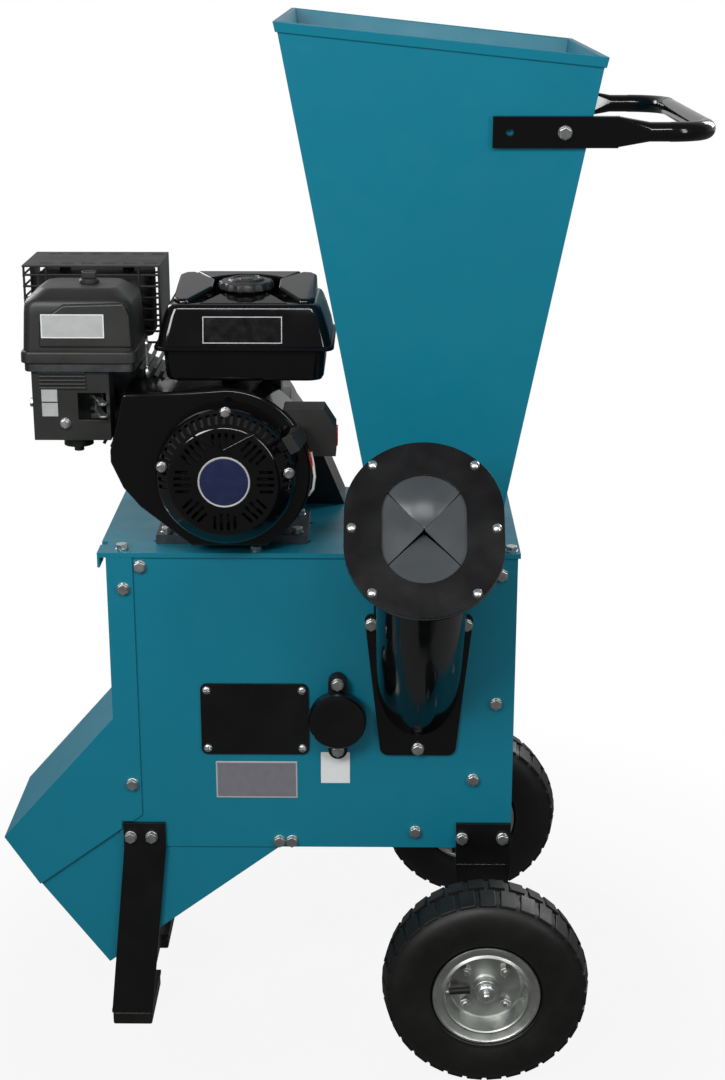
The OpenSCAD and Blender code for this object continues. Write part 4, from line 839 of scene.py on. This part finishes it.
(x0, z0), (x1, z1), edge = (128, 335), (228, 382), 2
foil = recess(block("data_plate_foil", (x0, -0.9, z0), (x1, -0.02, z1), 0.3, 1), 3, 0.3)
dress(foil, grey_foil)
foil_edge = block("data_plate_edge", (x0 - edge, -1.1, z0 - edge), (x1 + edge, -0.01, z1 + edge), 0.4, 1)
cut(foil_edge, block("edge_tool", (x0, -5, z0), (x1, 5, z1)))
dress(foil_edge, pale_foil)
sticker = block("panel_sticker", (260, -0.6, 354), (297, -0.02, 397), 0.25, 1)
pick_faces(sticker, FRONT)
bpy.ops.mesh.inset(thickness=2 * MM)
dress(sticker, white_vinyl)

# %% [markdown]
# ## Wheels
# Two air-filled tyres of ten inches run on pressed rims. The tyre is a turned carcass with two rows of
# lugs; one lug is modelled and repeated around the axle with an array. The rim is turned too: rolled
# flange, ridge, dish and flat disc.

# %% Tyre
AXLE_X, AXLE_Z, NEAR_Y, FAR_Y = 468.5, 130, -101, 385
LUGS, LUG_HALF_W, LUG_IN, LUG_OUT, LUG_FOOT_Z, LUG_TOP_Z = 31, 10.4, 3.4, 34, 244, 259.9
LUG_TAPER, SHOULDER_DROP = 0.92, 5.2
near_centre = spot(AXLE_X, NEAR_Y, AXLE_Z)
half_tyre = [(62, 24.5), (66.5, 33.5), (69, 36.6), (71, 38.4), (73.5, 38), (76, 39.2), (84, 41.6), (93, 42.5),
             (103, 42.2), (111, 40.4), (117.5, 37.2), (122, 32.6), (124.6, 27), (125.8, 20), (126.2, 10)]
carcass = [(r, -s) for r, s in half_tyre] + [(r, s) for r, s in reversed(half_tyre)]
tyre = turned("near_tyre_carcass", carcass, near_centre, steps=112)


def around(piece, count, centre):
    take(None)
    bpy.ops.object.empty_add()
    hub = bpy.context.object
    hub.matrix_world = turn_about(centre, 2 * math.pi / count, "Y")
    bpy.context.view_layer.update()
    ring = piece.modifiers.new("around", "ARRAY")
    ring.use_relative_offset = False
    ring.use_object_offset = True
    ring.offset_object = hub
    ring.count = count
    apply_modifiers(piece)
    bpy.data.objects.remove(hub, do_unlink=True)
    return piece


def lug(side):
    near, far = sorted((side * LUG_IN, side * LUG_OUT))
    piece = block("lug", (AXLE_X - LUG_HALF_W, NEAR_Y + near, LUG_FOOT_Z),
                  (AXLE_X + LUG_HALF_W, NEAR_Y + far, LUG_TOP_Z))
    for vertex in piece.data.vertices:
        outer = abs(vertex.co.y - near_centre.y) > 20 * MM
        if vertex.co.z > 250 * MM:
            vertex.co.x = near_centre.x + (vertex.co.x - near_centre.x) * LUG_TAPER
            if outer:
                vertex.co.z -= SHOULDER_DROP * MM
                vertex.co.y -= side * MM
    return round_edges(piece, 1.1)


front_row, rear_row = lug(-1), lug(1)
rear_row.matrix_world = turn_about(near_centre, math.pi / LUGS, "Y")
settle(rear_row)
rows = [around(row, LUGS, near_centre) for row in (front_row, rear_row)]
near_tyre = join("near_tyre_dressed", [tyre] + rows)


def far_copy(piece, name):
    twin = copy_of(piece)
    twin.name = name
    twin.matrix_world = turn_about(spot(AXLE_X, (NEAR_Y + FAR_Y) / 2, AXLE_Z), math.pi, "Z")
    return settle(twin)


far_tyre = far_copy(near_tyre, "far_tyre_dressed")
dress(near_tyre, tyre_rubber, "near_wheel", ["near_tyre"], 40)
dress(far_tyre, tyre_rubber, "far_wheel", ["far_tyre"], 40)

# %% Rim with its nuts and valve
rim_face = [(10.3, -27.6), (13.4, -27.6), (14.5, -26.5), (14.6, -15.5), (16.5, -13.4), (44, -13.2),
            (46.4, -14.6), (50.4, -33), (51.4, -36), (53, -37.2), (54.6, -36.2), (56, -35.2), (62.6, -37.4),
            (64.6, -39.3), (66.6, -39.4), (67.4, -37.9), (66, -36.4), (63.4, -30), (62, -24), (58, -16),
            (52, -9)]
rim_loop = rim_face + [(52, 9)] + [(r, -s) for r, s in reversed(rim_face[:-1])]
rim = turned("near_rim_pressing", rim_loop, near_centre, steps=96)
wheel_nut = hex_head("wheel_nut", HEAD_W, 6.5, 0)
stud = turned("wheel_stud", ring_profile(0.4, SHANK_R, 0, 10, 0.8), zero, UP, steps=20)
nut = join("wheel_nut_and_stud", [wheel_nut, stud])
nut_places = [spot(AXLE_X + i * 25, NEAR_Y - 13, AXLE_Z + j * 22.5) for i in (-1, 1) for j in (-1, 1)]
nuts = [placed(nut, place, FRONT) for place in nut_places]
bpy.data.objects.remove(nut, do_unlink=True)
VALVE_AXIS = (-1, -0.12, 0)
cap_profile = [(0.3, 0), (3.3, 0), (3.6, 1), (3.6, 5), (2.6, 6), (0.3, 6.2)]
valve_cap = turned("valve_cap", cap_profile, spot(AXLE_X - 46.5, NEAR_Y - 25, AXLE_Z - 2), VALVE_AXIS, UP, 24)
near_rim = join("near_rim_dressed", [rim, valve_cap] + nuts)
stem_profile = [(0.3, 0), (4.6, 0), (5, 1.5), (4.4, 4), (4.3, 24), (3.6, 27), (0.3, 27)]
stem = turned("near_valve_stem", stem_profile, spot(AXLE_X - 20, NEAR_Y - 21, AXLE_Z - 2), VALVE_AXIS, UP, 24)
far_stem = far_copy(stem, "far_valve_stem")
far_rim = far_copy(near_rim, "far_rim_dressed")
dress(near_rim, galvanised, "near_wheel", ["near_rim"], 30)
dress(far_rim, galvanised, "far_wheel", ["far_rim"], 30)
dress(stem, tyre_rubber, "near_wheel")
dress(far_stem, tyre_rubber, "far_wheel")

# %% Axle with its end collars and tips
half_axle = [(0.4, -146), (3.8, -146), (5, -144.8), (5, -137), (10.4, -137), (11.6, -136), (11.6, -133),
             (14.6, -133), (14.6, -129.6), (10, -129.6), (10, -72.4), (16, -72.4), (16, -64.4), (10, -64.4)]
whole_axle = half_axle + [(r, NEAR_Y + FAR_Y - y) for r, y in reversed(half_axle)]
axle = turned("axle_dressed", whole_axle, spot(AXLE_X, 0, AXLE_Z), steps=40)
dress(axle, zinc_plate, stands_for=["axle"])

# %% [markdown]
# ## Engine: fan housing and recoil starter
# A fan on the crankshaft blows air through a pressed housing on to the cylinder. The recoil starter sits in
# front of it: a round cover with slots through which the fan draws its air. The slots are cut with thin
# blocks, joined to one tool.

# %% Fan housing
CRANK_X, CRANK_Z, FAN_R = 150, 770, 102
crank = spot(CRANK_X, 0, CRANK_Z)
scroll = [(27, 866), (10, 795), (10, 781), (24, 749), (44, 725), (105, 676), (200, 676)]
arc = [math.radians(-60 + 5 * k) for k in range(31)]
scroll += [(CRANK_X + FAN_R * math.cos(a), CRANK_Z + FAN_R * math.sin(a)) for a in arc]
scroll += [(100, 868.5)]
blower = plate("blower_housing_dressed", scroll, -12, 70)
pick_faces(blower, BACK)
bpy.ops.mesh.delete(type="FACE")
round_edges(blower, 6, 4, 60)
walls = blower.modifiers.new("walls", "SOLIDIFY")
walls.thickness = 2.5 * MM
walls.offset = -1
apply_modifiers(blower)
cut(blower, turned("fan_hole", [(0.5, -20), (77, -20), (77, -6), (0.5, -6)], crank, steps=48))
dress(blower, black_enamel, stands_for=["blower_housing"], smooth=40)

# %% Recoil cover
cover_loop = [(0.3, -55), (62, -55), (65, -54.2), (67, -52.6), (78.6, -41), (81.4, -37.6), (83.2, -34),
              (84, -30), (84, -12), (81.4, -12), (81.4, -30), (80.6, -33), (79.2, -35.8), (76.6, -39),
              (65, -50.4), (62, -51.6), (0.3, -51.6)]
cover = turned("recoil_cover_dressed", cover_loop, crank, steps=96)


def slot_block(radius0, radius1, width, shift, turn):
    low, high = CRANK_Z + shift - width / 2, CRANK_Z + shift + width / 2
    piece = block("slot", (CRANK_X + radius0, -70, low), (CRANK_X + radius1, -34, high))
    piece.matrix_world = turn_about(crank, -math.radians(turn), "Y")
    return settle(piece)


RIM_SLOTS, RIM_SLOT_W, FACE_SLOT_W = 52, 4.4, 3.6
slots = [slot_block(68.5, 79.5, RIM_SLOT_W, 0, 360 * k / RIM_SLOTS) for k in range(-1, 28)]
for turn in range(0, 360, 45):
    for shift, start in ((-12, 42), (-4, 39), (4, 39), (12, 42)):
        slots.append(slot_block(start, 60.5 - abs(shift) * 0.2, FACE_SLOT_W, shift, turn))
cut(cover, join("slot_tool", slots))


def bar(name, p, q, width, height, rounding):
    p, q = spot(*p), spot(*q)
    take(None)
    bpy.ops.mesh.primitive_cube_add(size=1)
    piece = named(name)
    piece.scale = ((q - p).length, width * MM, height * MM)
    piece.rotation_euler = (q - p).to_track_quat("X", "Z").to_euler()
    piece.location = (p + q) / 2
    return round_edges(settle(piece), rounding)


top = (CRANK_X, -55, CRANK_Z + 38)
ridges = [bar("cover_ridge", top, (CRANK_X + i * 38, -55, CRANK_Z + 58), 3, 3, 0.8) for i in (-1, 1)]
PULL = Vector((0.8529, -0.1504, 0.5)).normalized()
grip_spot = spot(228, -39, 815)
guide_profile = [(3, -14), (8.4, -14), (8.4, -4), (9.6, -1.5), (9.2, -0.3), (4, -0.3), (3, -2)]
guide = turned("rope_guide", guide_profile, grip_spot, PULL, (0, 0.958, 0.288), 32)
BOSS_Y, boss_places = -46.5, [(76, 786), (226.5, 779)]
boss_profile = [(0.3, BOSS_Y), (7.4, BOSS_Y), (8.4, BOSS_Y + 1), (8.4, -36), (0.3, -36)]
bosses = [turned("bolt_boss", boss_profile, spot(x, 0, z), steps=32) for x, z in boss_places]
cover = join("recoil_cover_dressed", [cover, guide] + ridges + bosses)
dress(cover, black_enamel, stands_for=["recoil_cover"], smooth=30)

screen = turned("recoil_screen", [(64.4, -48.6), (76.2, -37), (76.2, -36.2), (64.4, -47.8)], crank, steps=96)
dress(screen, hot_black)

# %% Emblem and cover bolts
disc_profile = [(0.3, -56.6), (28, -56.6), (28.8, -56.2), (28.8, -54.8), (0.3, -54.8)]
dress(turned("emblem_disc", disc_profile, crank), emblem_blue)
edge_profile = [(28.9, -54.8), (28.9, -56.5), (29.6, -56.9), (30.4, -56.9), (31, -56.4), (31, -54.8)]
dress(turned("emblem_ring", edge_profile, crank), silver_vinyl)
small = hex_head("small_bolt", 10, 4.5, 0.8)
small_washer = turned("small_washer", ring_profile(0.4, 6.6, 0, 0.9, 0.2), zero, UP, steps=24)
small = join("small_bolt", [small, small_washer])
(left_x, left_z), (right_x, right_z) = boss_places
small_places = [(left_x, BOSS_Y, left_z), (152, -38, 850.5), (right_x, BOSS_Y, right_z)]
engine_bolts = join("engine_cover_bolts", [placed(small, spot(*place), FRONT) for place in small_places])
dress(engine_bolts, zinc_plate)

# %% [markdown]
# ## Starter grip and rope
# The grip is a moulded toggle with a narrower waist. Its rope runs from the guide into the grip; the rope is
# left in place and is not attached to a body.

# %% Starter grip
GRIP_W, GRIP_L, GRIP_H, GRIP_FOOT = 22, 48, 15.6, 0.8
take(None)
bpy.ops.mesh.primitive_cube_add(
    size=1, location=(0, 0, (GRIP_FOOT + GRIP_H / 2) * MM), scale=(GRIP_W * MM, GRIP_L * MM, GRIP_H * MM))
grip = settle(named("starter_grip"))
bpy.ops.object.mode_set(mode="EDIT")
bpy.ops.mesh.select_all(action="SELECT")
bpy.ops.mesh.subdivide(number_cuts=5)
bpy.ops.object.mode_set(mode="OBJECT")
for vertex in grip.data.vertices:
    far = abs(vertex.co.y) / (GRIP_L / 2 * MM)
    vertex.co.x *= 0.8 + 0.2 * far * far
    if vertex.co.z > 8 * MM:
        vertex.co.z -= 3 * MM * far * far
round_edges(grip, 4, 4, 60)
along = Vector((0.17365, 0.98481, 0))
across = along.cross(PULL)
grip.matrix_world = Matrix.Translation(grip_spot) @ Matrix((across, along, PULL)).transposed().to_4x4()
dress(grip, moulded_black, "starter_handle", ["starter_handle"], 50)
rope = wire("starter_rope", [grip_spot + PULL * (s * MM) for s in (-13, -8, -3, 2.5)], 4.6)
dress(rope, tyre_rubber, "starter_handle", smooth=60, bend=[grip_spot - PULL * (11 * MM), grip_spot])

# %% [markdown]
# ## Fuel tank and cap
# The tank is two deep-drawn shells, seam-welded at a flange that runs all the way round. It is stacked up
# from rounded rectangles. On its lid the press left four raised fields, and the grooves between them run
# from the filler to the corners. Each field is drawn with its own height at every corner and gets a
# generous radius.

# %% Fuel tank
TANK_X, TANK_Y = 172, 70.5
levels = [(877, 176, 117, 12), (878.4, 184, 125, 13), (883, 189, 130, 14), (913, 193, 134, 14),
          (915, 196, 136, 14), (915.6, 212, 149, 14), (916.6, 214, 151, 14), (919.4, 214, 151, 14),
          (920.4, 212, 149, 14), (921, 207, 145, 14), (934, 202, 141, 14), (956, 189, 131, 13),
          (964, 183, 126, 13), (967.4, 179, 122.5, 13), (968.8, 174, 118, 12), (969.6, 166, 110, 11),
          (970.6, 120, 90, 20), (971, 88, 68, 30)]
tank = stacked("fuel_tank_shell", [rounded_ring(TANK_X, TANK_Y, z, w, d, r) for z, w, d, r in levels])


def raised(name, corners, foot, draft, rounding):
    x0, y0 = (sum(c[i] for c in corners) / len(corners) for i in (0, 1))
    low = [spot(TANK_X + x, TANK_Y + y, foot) for x, y, z in corners]
    high = [spot(TANK_X + x0 + (x - x0) * draft, TANK_Y + y0 + (y - y0) * draft, z) for x, y, z in corners]
    return round_edges(stacked(name, [low, high]), rounding, 4, 25)


side_field = [(85, -45, 975), (78, -55, 973.6), (66, -56, 974), (38, -18, 984), (38, 18, 987), (66, 54, 990),
              (78, 53, 989.4), (85, 44, 988.6)]
rear_field = [(-66, 54, 990), (66, 54, 990), (46, 20, 987), (33, 31, 987.6), (12, 41, 988), (-12, 41, 988),
              (-33, 31, 987.6), (-46, 20, 987)]
front_field = [(-57, -58, 969.8), (57, -58, 969.8), (31, -25, 976.5), (-31, -25, 976.5)]
fields = [raised("side_field", [(i * x, y, z) for x, y, z in side_field], 958, 0.95, 3.4) for i in (-1, 1)]
fields += [raised("front_field", front_field, 962, 0.95, 2.2)]
fields += [raised("rear_field", rear_field, 960, 0.97, 2.4)]
neck_profile = [(22.5, 966), (29, 966), (28, 972), (26, 974), (26, 977.9), (22.5, 977.9)]
neck = turned("filler_neck", neck_profile, spot(TANK_X, TANK_Y, 0), UP, steps=48)
feet = [block("tank_foot", (CRANK_X + x, 76, 824), (CRANK_X + x + 22, 116, 878), 2) for x in (-12, 40)]
tank = join("fuel_tank_dressed", [tank, neck] + fields + feet)
dress(tank, black_enamel, stands_for=["fuel_tank"], smooth=40)

# %% Fuel cap


def cap_ring(z, radius, wave):
    turns = [2 * math.pi * k / 112 for k in range(112)]
    reach = [radius + wave * math.cos(14 * t) for t in turns]
    return [spot(TANK_X + r * math.cos(t), TANK_Y + r * math.sin(t), z) for r, t in zip(reach, turns)]


cap_levels = [(978.4, 31, 0.8), (978.6, 32.4, 1), (980, 33, 1), (985.6, 32.2, 1), (987.2, 31, 0.8),
              (987.8, 29, 0.4), (987.8, 22, 0), (990.2, 20.6, 0), (990.8, 19, 0), (990.6, 16.5, 0),
              (989.6, 15.6, 0), (989.6, 9, 0), (990.4, 8.4, 0), (990.5, 2, 0)]
fuel_cap = stacked("fuel_cap_dressed", [cap_ring(*level) for level in cap_levels])
dress(fuel_cap, moulded_black, "fuel_cap", ["fuel_cap"], 40)

# %% Tank label with a pale edge


def label(name, x0, x1, z0, z1, y_at, thickness, finish, edge_finish, edge):
    face = block(name, (x0, 0, z0), (x1, thickness, z1))
    border = block(name + "_edge", (x0, -0.15, z0), (x1, thickness, z1))
    cut(border, block("tool", (x0 + edge, -5, z0 + edge), (x1 - edge, 5, z1 - edge)))
    for piece, kind in ((face, finish), (border, edge_finish)):
        for vertex in piece.data.vertices:
            vertex.co.y += y_at(vertex.co.z / MM) * MM
        dress(piece, kind)


label("tank_label", 124, 218, 925, 956, lambda z: -2.6 + (z - 921) * 0.198, 1.2, dark_vinyl, pale_foil, 1.1)

# %% [markdown]
# ## Air cleaner
# The moulded cover has a skirt at its foot, a raised panel in front and a wing knob on its stud. It is
# stacked up like the tank, from rounded rectangles.

# %% Air cleaner cover
CLEAN_X, CLEAN_Y, PANEL_Y, PANEL_Z, PANEL_LEAN = -22, 44, -16.4, 922, 0.049
levels = [(903, 135, 120, 11), (904.2, 138.4, 123.4, 12), (914.5, 138, 123, 12), (916.6, 136.4, 121.4, 12),
          (917.4, 132, 117, 12), (921, 132, 117, 12), (962, 128, 113, 13), (970, 126.6, 111.6, 13),
          (974.5, 124, 109, 14), (977.5, 119.6, 104.6, 15), (980.5, 112, 97, 15), (985.4, 99, 82, 14),
          (988.2, 91, 73, 13), (989, 84, 66, 12)]
cleaner = stacked("air_cleaner_shell", [rounded_ring(CLEAN_X, CLEAN_Y, z, w, d, r) for z, w, d, r in levels])
panel_outline = [(-68, 922), (-66, 955), (-52, 963), (-38, 973), (34, 975), (40, 960), (42, 922)]
panel = plate("cleaner_panel", panel_outline, PANEL_Y, 30, 3.2, 3)
for vertex in panel.data.vertices:
    if vertex.co.y < spot(0, 0, 0).y:
        vertex.co.y += (vertex.co.z / MM - PANEL_Z) * PANEL_LEAN * MM
cleaner = join("air_cleaner_dressed", [cleaner, panel])
dress(cleaner, moulded_black, stands_for=["air_cleaner_cover"], smooth=40)
label("cleaner_label", -64, 10, 934, 962, lambda z: PANEL_Y - 0.4 + (z - PANEL_Z) * PANEL_LEAN, 0.9,
      silver_vinyl, white_vinyl, 1.2)

# %% Air cleaner knob
knob_profile = [(3.1, 989.6), (12, 989.6), (12, 992.5), (10.6, 994.4), (3.1, 994.4)]
knob = turned("knob_base", knob_profile, spot(-14, 44, 0), UP, steps=40)
wings = block("knob_wings", (-23, 40.2, 993.6), (-5, 47.8, 1003.4), 2.2, 3)
knob = join("air_cleaner_knob_dressed", [knob, wings])
dress(knob, moulded_black, "air_cleaner_knob", ["air_cleaner_knob"])

# %% [markdown]
# ## Carburettor side
# A moulded cover hides the carburettor. It has louvres at the top, two small plates, and a window where the
# choke and fuel levers stick out. The float bowl hangs below it with a drain bolt.

# %% Carburettor side
COVER_FRONT = -8
softened("control_cover", moulded_black, 1.4, 3)
softened("carburettor", alloy_with_painted_shade, 1.0)
louvre_feet = (871, 875.6, 880.2, 884.8, 889.4)
louvres = [block("louvre", (-71, -10.6, z), (-15, -6, z + 2.6), 0.9) for z in louvre_feet]
dress(join("cover_louvres", louvres), moulded_black)
for z in (837.5, 855.5):
    low, high = (-69, COVER_FRONT - 0.9, z), (-50, COVER_FRONT + 0.1, z + 16.5)
    small_plate = block("blank_plate", low, high, 0.3, 1)
    dress(recess(small_plate, 1.2, 0.3), silver_vinyl)
nut_places = [((-42, COVER_FRONT, 829), FRONT), ((-80, 8, 851), LEFT)]
cover_nuts = join("cover_nuts", [placed(small, spot(*place), axis) for place, axis in nut_places])
dress(cover_nuts, zinc_plate)
for lever in ("throttle_lever", "choke_lever", "fuel_lever"):
    softened(lever, zinc_plate, 0.6, body=lever)

# %% [markdown]
# ## Muffler and its guard
# The muffler gets hot, so a cage of wire under a sheet lid stands round it. Each hoop is one wire, bent
# round the muffler; uprights tie the hoops together.

# %% Muffler and guard
softened("muffler", hot_black, 1.6, 3)
GUARD_X0, GUARD_X1, GUARD_Y0, GUARD_Y1, WIRE_T = -106.4, 60, 113.6, 216.4, 3
lid = block("guard_lid", (-108, 112, 995.6), (62, 218, 998))
for x in range(-88, 50, 26):
    for y in (128, 198):
        cut(lid, block("lid_slot", (x, y, 990), (x + 16, y + 4, 1003)))
round_edges(lid, 0.9)
skirt = block("guard_skirt", (59.5, 112, 905), (62, 218, 996), 0.8)
bends = [(GUARD_X1, GUARD_Y0), (GUARD_X0, GUARD_Y0), (GUARD_X0, GUARD_Y1), (GUARD_X1, GUARD_Y1)]
hoops = [wire("guard_hoop", [spot(x, y, z) for x, y in bends], WIRE_T) for z in range(902, 987, 14)]
post_places = [(-106, 115), (-106, 215), (-78, 113), (36, 113), (-78, 217), (36, 217)]
posts = [wire("guard_post", [spot(x, y, 899.6), spot(x, y, 996)], WIRE_T) for x, y in post_places]
mesh_panel = block("guard_panel", (-105, 150, 903), (-103.6, 214, 994), 0.4)
guard = join("muffler_guard_dressed", [lid, skirt, mesh_panel] + hoops + posts)
dress(guard, hot_black, stands_for=["muffler_guard"], smooth=40)

# %% [markdown]
# ## Switch box and ignition wires
# The stop switch sits in a small box beside the fan housing. Two short wires run from it to the coil behind
# the housing, where their ends are hidden.

# %% Switch box and wires
softened("switch_box", moulded_black, 2.0, 3)
softened("engine_switch", red_plastic, 0.8, 2, body="engine_switch")
red_route = [(247, -6.4, 797), (250, -9.5, 789), (252, -10, 780), (253.5, -6, 772), (252, 0, 766)]
red = wire("ignition_wire_red", [spot(*point) for point in red_route], 3.6)
dress(red, red_wire)
white_route = [(251, -6.4, 794), (254, -9, 780), (255.5, -9, 764), (253.6, -7, 748), (247.6, 0, 738)]
white = wire("ignition_wire_white", [spot(*point) for point in white_route], 3.4)
dress(white, white_wire)
bpy.data.objects.remove(small, do_unlink=True)

# %% [markdown]
# ## Engine block and the inner works
# The rest is seen only through gaps, or when a cover is off: cast block, belt, pulleys, rotor and knives.
# Their CAD shapes are kept and get the finish of their real material.

# %% Inner works
# the block's alloy finish carries painted shade in its darkened grey
softened("engine_block", alloy_with_painted_shade, 1.0)
inner_finishes = {"drive_belt": sheet_rubber_and_sheen, "bed_knife": ground_steel, "rotor_shaft": ground_steel,
                  "rotor_disc": cast_iron, "rotor_blades": ground_steel, "rotor_pulley": cast_iron,
                  "crankshaft": ground_steel, "engine_pulley": cast_iron, "flywheel": alloy_with_painted_shade,
                  "starter_reel": moulded_black}
for node, finish in inner_finishes.items():
    keep_node(node, finish)
print("nodes kept with a new finish:", len(inner_finishes) + 1)

# %% [markdown]
# ## Stage: floor, backdrop and lamps
# The machine stands on a pale floor before a white backdrop, as in a product studio. The camera sees the
# backdrop as white, and glossy paint and polished metal see it pale behind the machine. In front of it a
# real studio is dark, and so is this one: that is what keeps black paint black. The floor turns white for
# the camera but keeps the machine's soft shadow.

# %% Floor
take(None)
bpy.ops.mesh.primitive_plane_add(size=14, location=(0, 0, 0))
floor = named("studio_floor")
floor_paint, tree, shader, place = start_finish("studio_floor_paint", Roughness=0.8)
shader.inputs["Base Color"].default_value = colour("#8c8c8c")
path = add_node(tree, "ShaderNodeLightPath")
clear = add_node(tree, "ShaderNodeMath", {
    0: path.outputs["Is Camera Ray"], 1: path.outputs["Is Transmission Ray"]}, operation="MAXIMUM")
reach = add_node(tree, "ShaderNodeVectorMath", {0: place}, operation="LENGTH")
white = add_node(tree, "ShaderNodeMapRange", {
    "Value": reach.outputs["Value"], "From Min": 0.45, "From Max": 1.0, "To Min": 0.9, "To Max": 1.0})
seen = add_node(tree, "ShaderNodeMath", {0: clear.outputs[0], 1: white.outputs[0]}, operation="MULTIPLY")
share = add_node(tree, "ShaderNodeMath", {
    0: seen.outputs[0], 1: path.outputs["Is Glossy Ray"]}, operation="MAXIMUM")
parts = add_node(tree, "ShaderNodeSeparateXYZ", {0: place})
front = add_node(tree, "ShaderNodeMapRange", {
    "Value": parts.outputs["Y"], "From Min": -0.7, "From Max": 0.5, "To Min": 0.1, "To Max": 0.12})
glow = add_node(tree, "ShaderNodeMix", {"Factor": clear.outputs[0], "A": front.outputs[0], "B": 1.0})
light = add_node(tree, "ShaderNodeEmission", {"Strength": glow.outputs["Result"]})
mix = add_node(tree, "ShaderNodeMixShader", {0: share.outputs[0], 1: shader.outputs[0], 2: light.outputs[0]})
tree.links.new(mix.outputs[0], tree.nodes["Material Output"].inputs["Surface"])
floor.data.materials.append(floor_paint)

# %% World
world = bpy.data.worlds.new("studio_world")
bpy.context.scene.world = world
world.use_nodes = True
tree = world.node_tree
sky = tree.nodes["Background"]
sky.inputs["Color"].default_value = (1, 1, 1, 1)
path = add_node(tree, "ShaderNodeLightPath")
way = add_node(tree, "ShaderNodeTexCoord")
parts = add_node(tree, "ShaderNodeSeparateXYZ", {0: way.outputs["Generated"]})
behind = add_node(tree, "ShaderNodeMapRange", {
    "Value": parts.outputs["Y"], "From Min": 0.1, "From Max": 0.9, "To Min": 0.12, "To Max": 0.6})
glossy = add_node(tree, "ShaderNodeMix", {
    "Factor": path.outputs["Is Glossy Ray"], "A": 0.22, "B": behind.outputs[0]})
clear = add_node(tree, "ShaderNodeMath", {
    0: path.outputs["Is Camera Ray"], 1: path.outputs["Is Transmission Ray"]}, operation="MAXIMUM")
level = add_node(tree, "ShaderNodeMix", {"Factor": clear.outputs[0], "A": glossy.outputs["Result"], "B": 1.0})
tree.links.new(level.outputs["Result"], sky.inputs["Strength"])

# %% Lamps


def lamp(name, place, aim, width, height, watts):
    take(None)
    bpy.ops.object.light_add(type="AREA", location=place)
    light = bpy.context.object
    light.name = name
    light.data.shape = "RECTANGLE"
    light.data.size = width
    light.data.size_y = height
    light.data.energy = watts
    light.rotation_euler = (Vector(aim) - Vector(place)).to_track_quat("-Z", "Y").to_euler()


lamp("key_lamp", (-1.2, -2.0, 2.0), (0.1, 0, 1.0), 0.8, 1.0, 36)
lamp("fill_lamp", (1.7, -1.9, 1.7), (0, 0, 0.9), 0.4, 1.4, 14)
lamp("top_lamp", (0.1, -1.85, 2.3), (0.05, -0.1, 0.95), 1.2, 0.25, 16)
for side in (-1, 1):
    lamp("back_lamp", (side * 1.9, 1.8, 2.0), (0, 0, 0.75), 0.9, 1.3, 34)
